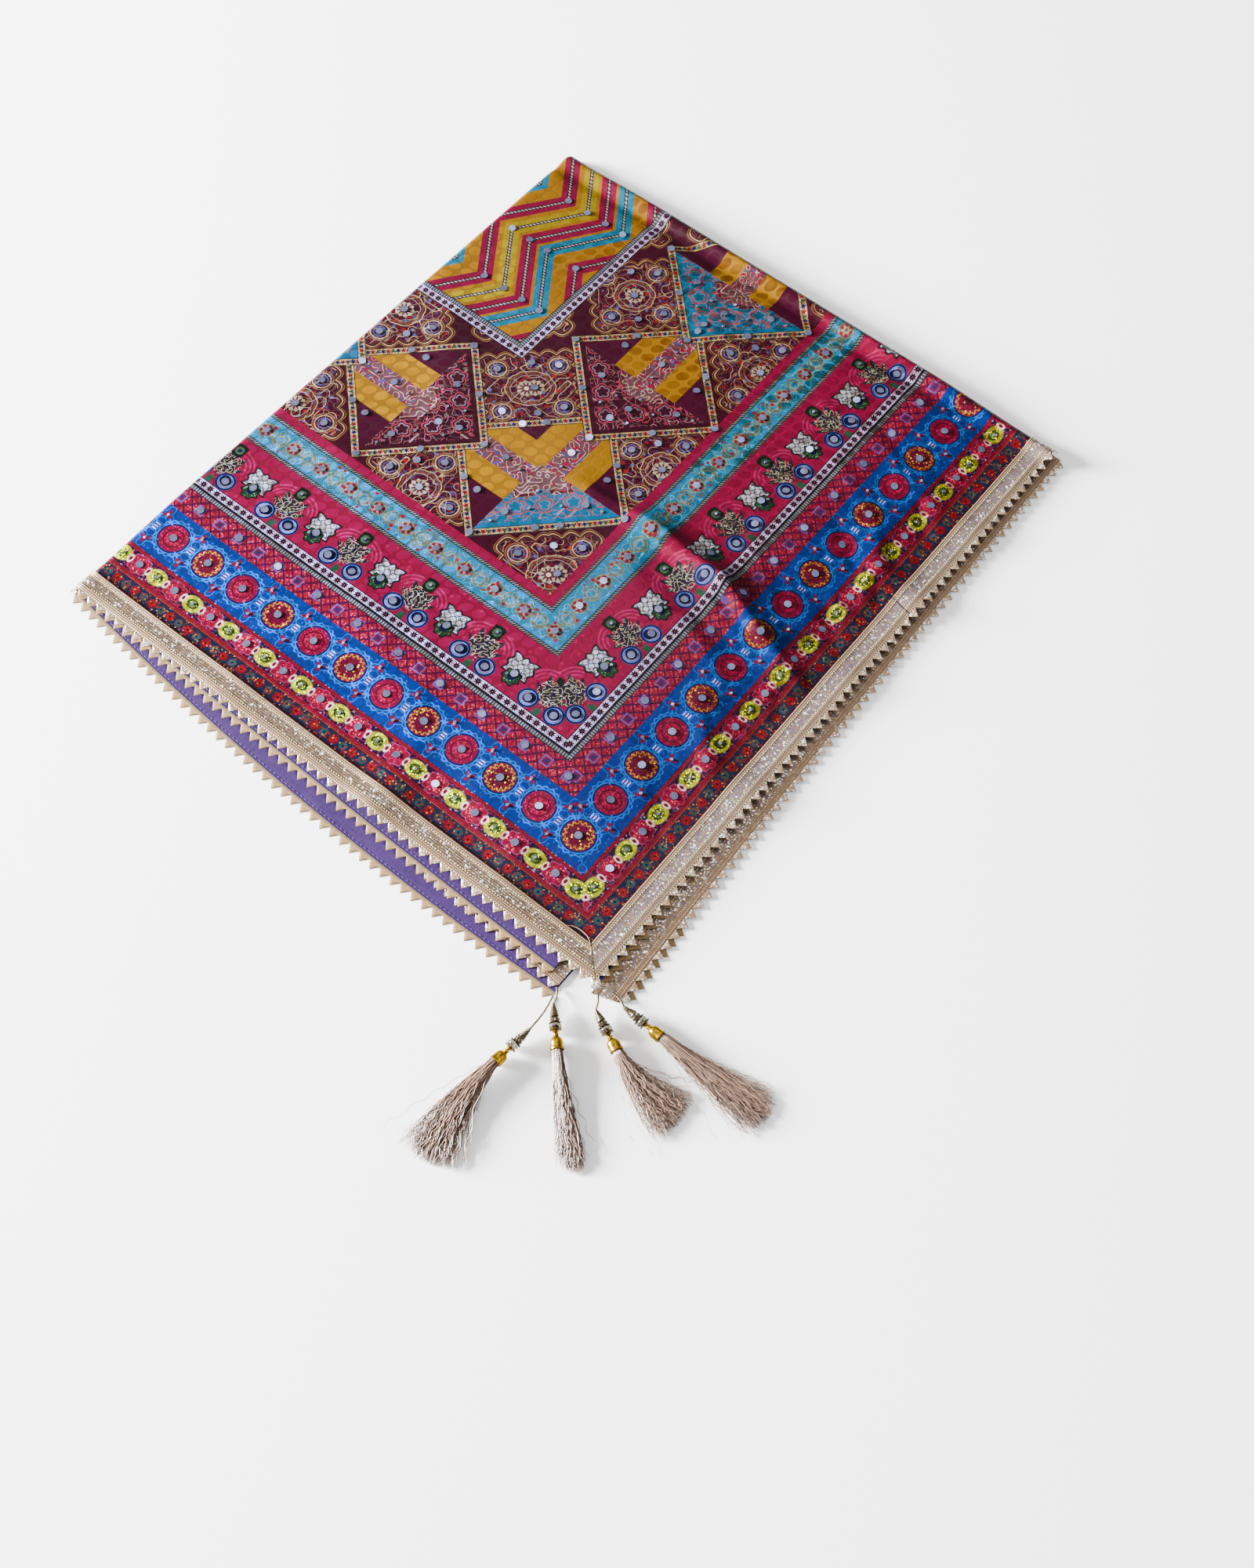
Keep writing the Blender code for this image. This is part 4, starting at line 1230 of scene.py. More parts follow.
core = sheet_piece("folded_stack", core_top, core_foot, core_places, core_materials, core_pick)
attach(core, "root")
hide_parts("folded_layers")
print("hidden layers", len(core.data.polygons), "faces")

# %% [markdown]
# ## The edges of the lower layers
#
# At the open edges four layers lie one on another like a fan that was not squared up. Each one's
# edge follows a parabola through three measured distances, so it comes out from under the layer
# above by a different amount along its run.

# %% Lower layers
LAYER_COLUMNS = ("name", "floor", "lace_width", "fold_clearance", "across_corner",
                 "across_middle", "across_fold", "along_corner", "along_middle", "along_fold",
                 "across_from", "across_to", "along_from", "along_to", "slant")
LAYERS = (
    ("bottom", 0.0000, 0.0075, 0.0020, -0.0215, -0.0234, -0.0026, -0.0222, -0.0090, -0.0040,
     0.0215, 0.466, 0.009, 0.071, 0.002),
    ("middle", 0.0014, 0.0232, 0.0028, -0.0175, -0.0040, 0.0020, -0.0200, -0.0112, -0.0086,
     0.0225, 0.140, 0.006, 0.547, 0.008),
    ("upper", 0.0028, 0.0075, 0.0048, -0.0115, -0.0079, 0.0005, -0.0045, 0.0030, 0.0030,
     0.031, 0.463, 0.010, 0.081, 0.002),
)
EDGE_COLUMNS = (0.0, 0.0006, 0.0015, 0.0030, 0.0070, 0.0130, 0.0200, 0.0300)


def through_three(start, middle, end, share):
    """The parabola through three values, at 0, 1/2 and 1."""
    return (start + share * (-3 * start + 4 * middle - end)
            + share * share * (2 * start - 4 * middle + 2 * end))


def run_length(side):
    return LONG_SIDE if side == "along" else SHORT_SIDE


def run_offset(layer, side, place):
    """How far in from the top lace's tips a layer's lace tips lie, at a place on their run."""
    values = [layer[f"{side}_{where}"] for where in ("corner", "middle", "fold")]
    return through_three(*values, place / run_length(side))


def on_run(side, place, distance):
    return (place, distance) if side == "along" else (distance, place)


def layer_strip(layer, side):
    """The cloth of a lower layer beside one run: from its cut edge to the hidden layers."""
    start = layer[f"{side}_from"] + GAP
    end = run_length(side) - layer["fold_clearance"]
    setback = layer["lace_width"] + GAP
    inner = CORE_START - GAP
    count = round((end - start) / 0.008)
    top, under, spots = [], [], []
    for i in range(count + 1):
        place = start + (end - start) * i / count
        edge = run_offset(layer, side, place) + setback
        line_top, line_under, line_spots = [], [], []
        for column in EDGE_COLUMNS + (None,):
            distance = inner if column is None else edge + column * (inner - edge) / 0.045
            spot = on_run(side, max(place, distance), distance)
            drop = 0.0003 * bell((column or 0.04), 0.0008)
            line_top.append(placed(*spot, layer["floor"] + CLOTH - drop))
            line_under.append(placed(*spot, layer["floor"] + drop * 0.5))
            line_spots.append(spot)
        top.append(line_top)
        under.append(line_under)
        spots.append(line_spots)
    materials = [lining, prints["medallion_band"]]
    face_up = 0 if layer["name"] != "middle" else 1

    def pick(along, across, lower):
        return face_up if not lower else 1 - face_up

    strip = sheet_piece(f"{layer['name']}_edge_{side}", top, under, spots, materials, pick)
    ring = [line[0] for line in spots] + [line[-1] for line in reversed(spots)]
    pairs = zip(ring, ring[1:] + ring[:1])
    area = abs(sum(a[0] * b[1] - b[0] * a[1] for a, b in pairs)) / 2
    widest = max(math.dist(line[0], line[-1]) for line in spots)
    cuts[strip.name] = ((widest, end - start), area)
    return strip


layer_pieces = {}
cuts = {}
for layer in rows(LAYER_COLUMNS, LAYERS):
    strips = [layer_strip(layer, side) for side in ("across", "along")]
    for strip in strips:
        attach(strip, "root")
        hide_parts(f"{layer['name']}_layer")
        "printed_satin" if layer["name"] == "middle" else "lining"
    layer_pieces[layer["name"]] = strips
print("lower layers", [piece.name for strips in layer_pieces.values() for piece in strips])

# %% [markdown]
# ## The metallic lace
#
# A lace like this is woven as a ribbon: fine braided rows at both sides of a wide glittering
# stripe, and pointed teeth along the outer edge. The rows are real ridges, so that they catch the
# light, and their braid is drawn in the shader. The lace has its own UV map: the place along the
# run, and the distance in from the tips of the teeth.

# %% Lace materials
INNER_BRAIDS = (0.0224, 0.0210, 0.0196)
OUTER_BRAIDS = (0.0098, 0.0084, 0.0070)
STRIPE = (0.0106, 0.0188)
LACE_JOIN = 0.3570


def lace_material(name, dark, light, grooves, glitter_share, shine=0.75, join=None):
    """Metal thread: braided rows, a stripe with grooves or glitter, and teeth with a rim."""
    material, tree, cloth = new_material(name, "cloth")
    place, depth = split(tree, cloth)[:2]
    made = use_group(tree, glitter_group, Cloth=cloth, Grain=1300.0, Dark=ink(dark),
                     Light=ink(light))
    painted_glint = Number(made["Painted glint"])
    flakes = Number(made["Height"])
    stripe = above(depth, STRIPE[0]) * below(depth, STRIPE[1])
    zone = either(above(depth, STRIPE[1]), line(depth, 0.0083, 0.0024))
    colour = mix_colour(tree, zone * 0.75, made["Colour"], ink(light))
    slant = wrapped(place + abs(wrapped(depth, 0.0028, 0.0224)) * 0.9, 0.0018)
    braid = line(slant, 0.0, 0.0004, 0.0005)
    colour = mix_colour(tree, braid * zone * 0.5, colour, ink(dark))
    seams = None
    for centre in (0.0218, 0.0196, 0.0110, 0.0086, 0.0060):
        seam = line(depth, centre, 0.00032, 0.0003)
        seams = seam if seams is None else either(seams, seam)
    colour = mix_colour(tree, seams * 0.85, colour, ink("1c1510"))
    beads = below(abs(wrapped(place, 0.0015)), 0.00036, 0.0003) * seams
    colour = mix_colour(tree, beads * 0.75, colour, ink(light))
    if grooves:
        groove = line(wrapped(depth, 0.00165, STRIPE[0]), 0.0, 0.00032, 0.0003)
        colour = mix_colour(tree, groove * stripe * 0.8, colour, ink("1c1510"))
    distance, tint = cells(tree, cloth, 860.0)
    first, second, third = split(tree, tint)
    patch = above(first, 1 - glitter_share, 0.15) * stripe
    colour = mix_colour(tree, patch * 0.8, colour, ink("665a6e"))
    # Painted glints: white specks in the stripe, as if catching the light.
    colour = mix_colour(tree, above(second, 0.955, 0.02) * stripe, colour, ink("fafafa"))
    if join is not None:
        fold = line(place - depth * 0.2, join, 0.0005, 0.0004)
        colour = mix_colour(tree, fold * 0.85, colour, ink("1c1510"))
    edge = abs(wrapped(place, TOOTH_PITCH, TOOTH_PITCH / 2)) * (2 * TOOTH_HEIGHT / TOOTH_PITCH)
    from_edge = depth - edge
    teeth = below(depth, TOOTH_HEIGHT)
    rim = line(from_edge, 0.0006, 0.0004, 0.0004) * teeth
    core_tooth = above(from_edge, 0.0018, 0.0006) * teeth
    colour = mix_colour(tree, teeth * 0.55, colour, ink("c59f79"))
    # Painted glints: white specks on the teeth.
    colour = mix_colour(tree, above(third, 0.82, 0.03) * teeth, colour, ink("fafafa"))
    colour = mix_colour(tree, core_tooth * 0.3, colour, ink(dark))
    colour = mix_colour(tree, below(from_edge, 0.0004, 0.0003) * teeth * 0.6, colour, ink("1a130d"))
    height = flakes + rim * 0.0004 + braid * zone * 0.0002
    values = {
        "Base Color": colour,
        # Where glints are painted, the thread is also more metallic and glossier.
        "Metallic": painted_glint.calc("MULTIPLY_ADD", 0.2, shine, clamp=True),
        "Roughness": painted_glint.calc("MULTIPLY_ADD", -0.2, 0.42),
    }
    return shaded(material, values, height - seams * 0.0004, 0.9)


def lace_back_material():
    """The plain back of a lace: tan thread, with short cross stitches."""
    material, tree, cloth = new_material("lace_back", "cloth")
    place, depth = split(tree, cloth)[:2]
    rib = (place * 5200.0).calc("SINE")
    cloudy = noise(tree, cloth, 300.0, 3.0)
    colour = mix_colour(tree, cloudy, ink("4b3a28"), ink("8e6d3c"))
    edge = abs(wrapped(place, TOOTH_PITCH, TOOTH_PITCH / 2)) * (2 * TOOTH_HEIGHT / TOOTH_PITCH)
    rim = below(depth - edge, 0.0005, 0.0004) * below(depth, TOOTH_HEIGHT + 0.0005)
    colour = mix_colour(tree, rim * 0.5, colour, ink("3a2c1f"))
    colour = mix_colour(tree, above(depth, 0.0064) * 0.6, colour, ink("31251e"))
    values = {
        "Base Color": colour,
        "Roughness": 0.66,
        "Metallic": 0.15,
    }
    return shaded(material, values, rib * 0.00006 + cloudy * 0.0003, 0.7)


bronze_lace = lace_material("bronze_lace", "39312b", "997b61", True, 0.03)
silver_lace = lace_material("silver_lace", "3c3430", "a48870", False, 0.45, join=LACE_JOIN)
lower_lace = lace_material("lower_lace", "423934", "a28265", False, 0.2)
lace_back = lace_back_material()


# %% Lace strips
LACE_ROWS_PER_TOOTH = 8


def lace_ridge(depth):
    """How high the lace stands over its base: rounded braids, and a flat stripe between."""
    height = 0.55
    for centre in INNER_BRAIDS + OUTER_BRAIDS:
        height = max(height, 0.45 + 0.55 * bell(depth - centre, 0.00055))
    if STRIPE[0] < depth < STRIPE[1]:
        height = 0.62
    return height


def lace_depths(width):
    """The lines along a lace, from its inner edge to where its teeth begin."""
    step = 0.00035 if width > 0.01 else 0.0010
    count = round((width - TOOTH_HEIGHT) / step)
    return [width - (width - TOOTH_HEIGHT) * i / count for i in range(count + 1)]


def lace_piece(name, spans, width, point, material, backs=None):
    """A lace strip. point gives a place on it for a run place, a depth and a height share."""
    start, end, corner_tooth, teeth_count = spans
    depths = lace_depths(width)
    count = teeth_count * LACE_ROWS_PER_TOOTH
    top, under, spots = [], [], []
    for i in range(count + 1):
        place = start + (end - start) * i / count
        phase = teeth_count * i / count
        edge = TOOTH_HEIGHT * abs(2 * (phase % 1.0) - 1)
        if corner_tooth and phase < 0.5:
            edge = 0.0
        lines = [(depth, lace_ridge(depth) if width > 0.01 else 0.8) for depth in depths]
        for share in (0.25, 0.5, 0.75, 1.0):
            lines.append((TOOTH_HEIGHT + (edge - TOOTH_HEIGHT) * share, 0.75 - 0.45 * share**3))
        top.append([point(place, depth, height) for depth, height in lines])
        under.append([point(place, depth, 0.0) for depth, height in lines])
        spots.append([(phase * TOOTH_PITCH, depth) for depth, height in lines])
    materials = [material, backs or lace_back]
    return sheet_piece(name, top, under, spots, materials, lambda a, b, lower: lower)


def top_lace(side):
    """The face-up lace on the top layer, mitred at the corner and lapped round at the fold."""
    length = run_length(side)
    teeth = math.floor((length + 0.004) / TOOTH_PITCH)

    def point(place, depth, height):
        place = max(place, depth + GAP)
        return panel_point(*on_run(side, place, depth), GAP + LACE_THICKNESS * height)

    material = bronze_lace if side == "across" else silver_lace
    spans = (GAP, teeth * TOOTH_PITCH, True, teeth)
    return lace_piece(f"lace_top_{side}", spans, LACE_WIDTH, point, material)


def layer_lace(layer, side):
    """The lace on a lower layer: face up on the middle one, its plain back on the others."""
    start, end = layer[f"{side}_from"], layer[f"{side}_to"]
    slant = layer["slant"] if side == "along" else 0.0
    width = layer["lace_width"]

    def point(place, depth, height):
        share = (place - start) / (end - start)
        drawn = place - slant * (depth / width) * (1 - share)
        spot = on_run(side, drawn, run_offset(layer, side, place) + depth)
        return placed(*spot, layer["floor"] + LACE_THICKNESS * height)

    material = lower_lace if layer["name"] == "middle" else lace_back
    spans = (start, end, False, round((end - start) / TOOTH_PITCH))
    return lace_piece(f"lace_{layer['name']}_{side}", spans, width, point, material, lower_lace)


laces = []
for side in ("across", "along"):
    strip = top_lace(side)
    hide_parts(f"top_lace_{side}")
    laces.append(strip)
    for layer in rows(LAYER_COLUMNS, LAYERS):
        strip = layer_lace(layer, side)
        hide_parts(f"{layer['name']}_lace_{side}")
        laces.append(strip)
for strip in laces:
    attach(strip, "root")
    faces_up = "top" in strip.name or "middle" in strip.name
for layer_name, strips in layer_pieces.items():
    for strip, side in zip(strips, ("across", "along")):
        flat, area = cuts[strip.name]
        print(strip.name, [round(length, 3) for length in flat], "m, area", round(area, 4), "m2")
print("printed cloth cut", [round(length, 4) for length in panel_size], "m")
print("lace strips", len(laces), "with", sum(len(strip.data.polygons) for strip in laces), "faces")

# %% [markdown]
# ## Mirrors, studs and stitches by Geometry Nodes
#
# The small mirrors are all alike, so one node tree sets them: it takes a mesh of points, puts a
# twelve-sided disc on each, tips it a little at random, and makes the copies real. The points come
# from the same spacings as the print, so that every mirror sits in the middle of its flower. The
# tree is evaluated once and the result kept as a plain mesh.

# %% Places of the mirrors
MIRROR = 0.0028
STUD = 0.0011
ON_CLOTH = 0.0002


def run_spots(depth, pitch, place, first=0.0, flat_end=0.010):
    """Places along both runs at one depth, beginning at the corner's diagonal."""
    spots = []
    for side in ("across", "along"):
        count = math.floor((run_length(side) - flat_end - place) / pitch)
        for i in range(-4, count + 1):
            at = place + pitch * i
            twice = side == "across" and abs(at - depth) < 0.0002
            if at >= depth - first and not twice:
                spots.append(on_run(side, at, depth))
    return spots


def side_up_spot(side, up, sign):
    """A place on the cloth from the maker's sideways and upward lengths."""
    side_length = MIDDLE_SIDE + sign * side
    return ((up + side_length) * HALF_ROOT, (up - side_length) * HALF_ROOT)


def on_face(along, across):
    return (0.004 < along < LONG_SIDE - 0.012) and (0.004 < across < SHORT_SIDE - 0.009)


mirror_spots = run_spots(0.0465, 0.0340, 0.0545 + 0.0170)
mirror_spots += run_spots(0.0765, MEDALLION_PITCH, MEDALLION_START, first=0.002)
mirror_spots += run_spots(0.1050, 0.0372, 0.1085)
mirror_spots += run_spots(0.1430, CROWN_PITCH, CROWN_PLACE)
for offset in (-0.0112, 0.0112):
    mirror_spots += run_spots(0.1345, CROWN_PITCH, CROWN_PLACE + CROWN_PITCH / 2 + offset)
mirror_spots += run_spots(0.1870, VINE_PITCH, VINE_PLACE + VINE_PITCH)
mirror_spots.append((0.1905, 0.1905))
mirror_spots.append((0.1080, 0.1080))

stud_spots = run_spots(0.0465, 0.0340, 0.0545)
for offset in (-0.0125, 0.0125):
    stud_spots += run_spots(0.0765 + offset, MEDALLION_PITCH, MEDALLION_START + MEDALLION_PITCH / 2)
stud_spots += run_spots(0.1610, CROWN_PITCH, CROWN_PLACE + CROWN_PITCH / 2)
stud_spots += run_spots(0.1400, CROWN_PITCH, CROWN_PLACE + 0.0040)

SQUARE_MIRRORS = ((-0.93, -0.93), (0.93, -0.93), (-0.93, 0.93), (0.93, 0.93), (0.0, -0.93),
                  (-0.93, 0.0), (0.93, 0.05), (0.0, 0.93), (-0.30, -0.46), (-0.64, -0.66),
                  (0.40, -0.62), (-0.62, 0.20), (0.30, 0.34), (0.76, -0.20), (-0.20, 0.76))
SQUARE_STUDS = ((-0.45, -0.20), (0.05, -0.60), (-0.70, -0.30), (0.12, 0.10), (0.55, 0.55),
                (-0.10, -0.30), (0.62, -0.76), (-0.35, -0.72))
ORNATE_MIRRORS = ((0.0, 0.0), (0.020, 0.020), (-0.020, 0.020), (0.020, -0.020),
                  (-0.020, -0.020), (0.0, 0.024), (0.0, -0.024))


def in_patchwork(along, across):
    return BAND_ENDS["vine_band"] + 0.004 < min(along, across) < BAND_ENDS["patchwork"] - 0.003


def in_square(side, up):
    for at_side, at_up, ground, floral in SQUARES:
        if max(abs(side - at_side), abs(up - at_up)) < SQUARE_HALF + 0.001:
            return True
    return False


for sign in (1, -1):
    for at_side, at_up, ground, floral in SQUARES:
        for across_square, up_square in SQUARE_MIRRORS:
            side = at_side + across_square * SQUARE_HALF
            if side > -0.001:
                mirror_spots.append(side_up_spot(side, at_up + up_square * SQUARE_HALF, sign))
        for across_square, up_square in SQUARE_STUDS:
            side = at_side + across_square * SQUARE_HALF
            if side > -0.001:
                stud_spots.append(side_up_spot(side, at_up + up_square * SQUARE_HALF, sign))
    for i in range(6):
        for j in range(8):
            for off_side, off_up in ORNATE_MIRRORS:
                side = ORNATE_PLACE[0] + ORNATE_PITCH[0] * (i - 1) + off_side
                up = ORNATE_PLACE[1] + ORNATE_PITCH[1] * (j - 3) + off_up
                spot = side_up_spot(side, up, sign)
                if side > 0 and in_patchwork(*spot) and not in_square(side, up):
                    mirror_spots.append(spot)

for i in range(7):
    along = CHEVRON_PLACE + CHEVRON_PITCH / 2 * (i - 4)
    bend = CHEVRON_PITCH / 2 * (i % 2)
    for place, _ in CHEVRON_COLOURS:
        for turn in (0, -1):
            across = place + CHEVRON_PERIOD * turn - bend * CHEVRON_SLOPE
            if min(along, across) > BAND_ENDS["inner_star_band"] + 0.004:
                mirror_spots.append((along, across))


def spread_out(spots, reach):
    """The spots that lie on the face, without those too close to an earlier one."""
    kept = []
    for along, across in spots:
        near = any(math.hypot(along - a, across - b) < reach for a, b in kept)
        if on_face(along, across) and not near:
            kept.append((along, across))
    return kept


mirror_spots = spread_out(mirror_spots, 0.0062)
stud_spots = [spot for spot in spread_out(stud_spots, 0.0040)
              if all(math.dist(spot, other) > 0.0045 for other in mirror_spots)]
print("mirrors", len(mirror_spots), "studs", len(stud_spots))


# %% Materials of the mirrors
def mirror_material(name, colour, roughness):
    """Foil behind clear plastic: a mirror with a few fine scratches."""
    material, tree, place = new_material(name)
    scratch = noise(tree, place, 900.0, 3.0)
    cloudy = noise(tree, place, 260.0, 2.0)
    tint = mix_colour(tree, cloudy, ink(colour), ink("9ba3d1"))
    values = {
        "Base Color": tint,
        "Roughness": scratch.calc("MULTIPLY_ADD", 0.15, roughness),
        "Metallic": 1.0,
    }
    return shaded(material, values, scratch * 0.0002, 0.25)


mirror_foil = mirror_material("mirror_foil", "5d5d75", 0.10)
stud_metal = mirror_material("stud_metal", "76757f", 0.22)


# %% A node tree that sets discs on points
DISC_TIP_SEED = 7


def geometry_tree(name, inputs):
    """A Geometry Nodes tree with geometry in and out, and the inputs by name and kind."""
    tree = bpy.data.node_groups.new(name, "GeometryNodeTree")
    tree.interface.new_socket("Geometry", in_out="INPUT", socket_type="NodeSocketGeometry")
    for label, kind in inputs:
        tree.interface.new_socket(label, in_out="INPUT", socket_type="NodeSocket" + kind)
    tree.interface.new_socket("Geometry", in_out="OUTPUT", socket_type="NodeSocketGeometry")
    return tree, tree.nodes.new("NodeGroupInput"), tree.nodes.new("NodeGroupOutput")


def named_vector(tree, label):
    """The vector stored on the points under that name."""
    node = tree.nodes.new("GeometryNodeInputNamedAttribute")
    node.data_type = "FLOAT_VECTOR"
    node.inputs["Name"].default_value = label
    return node.outputs["Attribute"]


def leaning(tree, label, amount, seed):
    """A stored vector that leans at random by the amount."""
    turn = tree.nodes.new("FunctionNodeRandomValue")
    turn.data_type = "FLOAT_VECTOR"
    turn.inputs["Min"].default_value = (-1.0, -1.0, 0.0)
    turn.inputs["Max"].default_value = (1.0, 1.0, 0.0)
    turn.inputs["Seed"].default_value = seed
    scaled = tree.nodes.new("ShaderNodeVectorMath")
    scaled.operation = "SCALE"
    lean = tree.nodes.new("ShaderNodeVectorMath")
    lean.operation = "ADD"
    tree.links.new(turn.outputs[0], scaled.inputs[0])
    tree.links.new(amount, scaled.inputs["Scale"])
    tree.links.new(named_vector(tree, label), lean.inputs[0])
    tree.links.new(scaled.outputs[0], lean.inputs[1])
    return lean.outputs[0]


def aligned(tree, axis, vector, rotation=None, pivot="AUTO"):
    """A rotation that turns the axis to the vector."""
    node = tree.nodes.new("FunctionNodeAlignRotationToVector")
    node.axis = axis
    node.pivot_axis = pivot
    tree.links.new(vector, node.inputs["Vector"])
    if rotation is not None:
        tree.links.new(rotation, node.inputs["Rotation"])
    return node.outputs[0]


def on_points(tree, ends, shape, rotation, material, scale=None):
    """The shape on every point, turned, made real and given its material."""
    group_in, group_out = ends
    place = tree.nodes.new("GeometryNodeInstanceOnPoints")
    real = tree.nodes.new("GeometryNodeRealizeInstances")
    paint = tree.nodes.new("GeometryNodeSetMaterial")
    paint.inputs["Material"].default_value = material
    tree.links.new(group_in.outputs["Geometry"], place.inputs["Points"])
    tree.links.new(shape, place.inputs["Instance"])
    tree.links.new(rotation, place.inputs["Rotation"])
    if scale is not None:
        tree.links.new(scale, place.inputs["Scale"])
    tree.links.new(place.outputs[0], real.inputs[0])
    tree.links.new(real.outputs[0], paint.inputs["Geometry"])
    tree.links.new(paint.outputs[0], group_out.inputs["Geometry"])
    return tree


def disc_tree(name, material, thickness):
    """Geometry Nodes: a disc on each point, turned to the cloth and tipped at random."""
    inputs = (("Radius", "Float"), ("Tilt", "Float"), ("Sides", "Int"))
    tree, *ends = geometry_tree(name, inputs)
    given = ends[0].outputs
    disc = tree.nodes.new("GeometryNodeMeshCylinder")
    disc.fill_type = "NGON"
    disc.inputs["Depth"].default_value = thickness
    tree.links.new(given["Radius"], disc.inputs["Radius"])
    tree.links.new(given["Sides"], disc.inputs["Vertices"])
    facing = aligned(tree, "Z", leaning(tree, "outward", given["Tilt"], DISC_TIP_SEED))
    return on_points(tree, ends, disc.outputs["Mesh"], facing, material)


def grown(name, points, vectors, tree, values):
    """A plain mesh piece: the tree is evaluated on these points, and only its result is kept."""
    mesh = bpy.data.meshes.new(name + "_points")
    mesh.from_pydata([tuple(p) for p in points], [], [])
    for label, column in vectors.items():
        attribute = mesh.attributes.new(label, "FLOAT_VECTOR", "POINT")
        for item, vector in zip(attribute.data, column):
            item.vector = vector
    seedling = linked(name + "_points", mesh)
    modifier = seedling.modifiers.new("grown", "NODES")
    modifier.node_group = tree
    sockets = {item.name: item.identifier for item in tree.interface.items_tree
               if item.in_out == "INPUT"}
    for label, value in values.items():
        modifier[sockets[label]] = value
    bpy.context.view_layer.update()
    evaluated = seedling.evaluated_get(bpy.context.evaluated_depsgraph_get())
    made = bpy.data.meshes.new_from_object(evaluated)
    seedling.modifiers.remove(modifier)
    bpy.data.objects.remove(seedling)
    made.name = name
    piece = linked(name, made)
    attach(piece, "root")
    return piece


def set_discs(name, spots, size, tilt, sides, material, thickness):
    points = [panel_point(a, b, ON_CLOTH + thickness / 2) for a, b in spots]
    outwards = [panel_normal(a, b) for a, b in spots]
    tree = disc_tree(name + "_tree", material, thickness)
    return grown(name, points, {"outward": outwards}, tree,
                 {"Radius": size, "Tilt": tilt, "Sides": sides})


mirrors = set_discs("mirrors", mirror_spots, MIRROR, 0.15, 12, mirror_foil, 0.0006)
studs = set_discs("studs", stud_spots, STUD, 0.25, 8, stud_metal, 0.0009)
print("mirror faces", len(mirrors.data.polygons), "stud faces", len(studs.data.polygons))

# %% [markdown]
# ## Stitches by Geometry Nodes
#
# The lace is sewn down along its seams, and the lining is caught with a running stitch beside each
# lace. A second node tree sets the stitches: a short thread on each point, turned along the seam
# and laid flat on the cloth, a little askew as hand sewing is.

# %% Stitches
STITCH_TURN_SEED = 11
LACE_SEAMS = (0.0196, 0.0110, 0.0060)


def stitch_tree(name, material):
    """Geometry Nodes: a short thread on each point, along its heading."""
    inputs = (("Length", "Float"), ("Thickness", "Float"), ("Skew", "Float"))
    tree, *ends = geometry_tree(name, inputs)
    given = ends[0].outputs
    thread = tree.nodes.new("GeometryNodeMeshUVSphere")
    thread.inputs["Segments"].default_value = 5
    thread.inputs["Rings"].default_value = 4
    thread.inputs["Radius"].default_value = 0.5
    heading = leaning(tree, "heading", given["Skew"], STITCH_TURN_SEED)
    along_seam = aligned(tree, "X", heading)
    on_cloth = aligned(tree, "Z", named_vector(tree, "outward"), along_seam, "X")
    size = tree.nodes.new("ShaderNodeCombineXYZ")
    for axis, label in (("X", "Length"), ("Y", "Thickness"), ("Z", "Thickness")):
        tree.links.new(given[label], size.inputs[axis])
    return on_points(tree, ends, thread.outputs["Mesh"], on_cloth, material, size.outputs[0])


def sewn(name, lines, material, length, thickness, skew):
    """Stitches along lines of points, each line with its outward directions."""
    points, headings, outwards = [], [], []
    for line_points, line_outwards in lines:
        for i, point in enumerate(line_points):
            nearby = line_points[max(i - 1, 0)], line_points[min(i + 1, len(line_points) - 1)]
            points.append(point)
            headings.append((nearby[1] - nearby[0]).normalized())
            outwards.append(line_outwards[i])
    tree = stitch_tree(name + "_tree", material)
    values = {"Length": length, "Thickness": thickness, "Skew": skew}
    return grown(name, points, {"heading": headings, "outward": outwards}, tree, values)


def seam_on_lace(side, depth, pitch):
    """Points on the top lace at one depth, from the mitre to the fold."""
    lift = GAP + LACE_THICKNESS * lace_ridge(depth) + 0.0001
    count = math.floor((run_length(side) - 0.010 - depth) / pitch)
    spots = [on_run(side, depth + 0.0012 + pitch * i, depth) for i in range(count)]
    return [panel_point(*spot, lift) for spot in spots], [panel_normal(*spot) for spot in spots]


def seam_on_lining(layer, side, pitch):
    """Points on a lower layer's lining, beside its lace."""
    start = layer[f"{side}_from"] + 0.014
    end = min(layer[f"{side}_to"], run_length(side) - 0.012)
    spots = []
    for i in range(math.floor((end - start) / pitch)):
        place = start + pitch * i
        depth = run_offset(layer, side, place) + layer["lace_width"] + 0.0016
        spots.append(on_run(side, place, depth))
    return ([placed(*spot, layer["floor"] + CLOTH + 0.00012) for spot in spots],
            [Vector((0, 0, 1))] * len(spots))


def thread_material(name, colour):
    material, tree, place = new_material(name)
    twist = noise(tree, place, 1500.0, 1.0)
    values = {
        "Base Color": mix_colour(tree, twist * 0.5, ink(colour), ink("362c25")),
        "Roughness": 0.55,
    }
    return shaded(material, values)


lace_thread = thread_material("lace_thread", "faf2ac")
lining_thread = thread_material("lining_thread", "493767")
lace_seams = [seam_on_lace(side, depth, 0.0021) for side in ("across", "along")
              for depth in LACE_SEAMS]
lining_seams = [seam_on_lining(layer, side, 0.0036) for layer in rows(LAYER_COLUMNS, LAYERS)
                for side in ("across", "along") if layer["name"] != "middle"]
lace_stitches = sewn("lace_stitches", lace_seams, lace_thread, 0.0012, 0.00042, 0.10)
lining_stitches = sewn("lining_stitches", lining_seams, lining_thread, 0.0022, 0.00035, 0.05)
print("stitch faces", len(lace_stitches.data.polygons), len(lining_stitches.data.polygons))

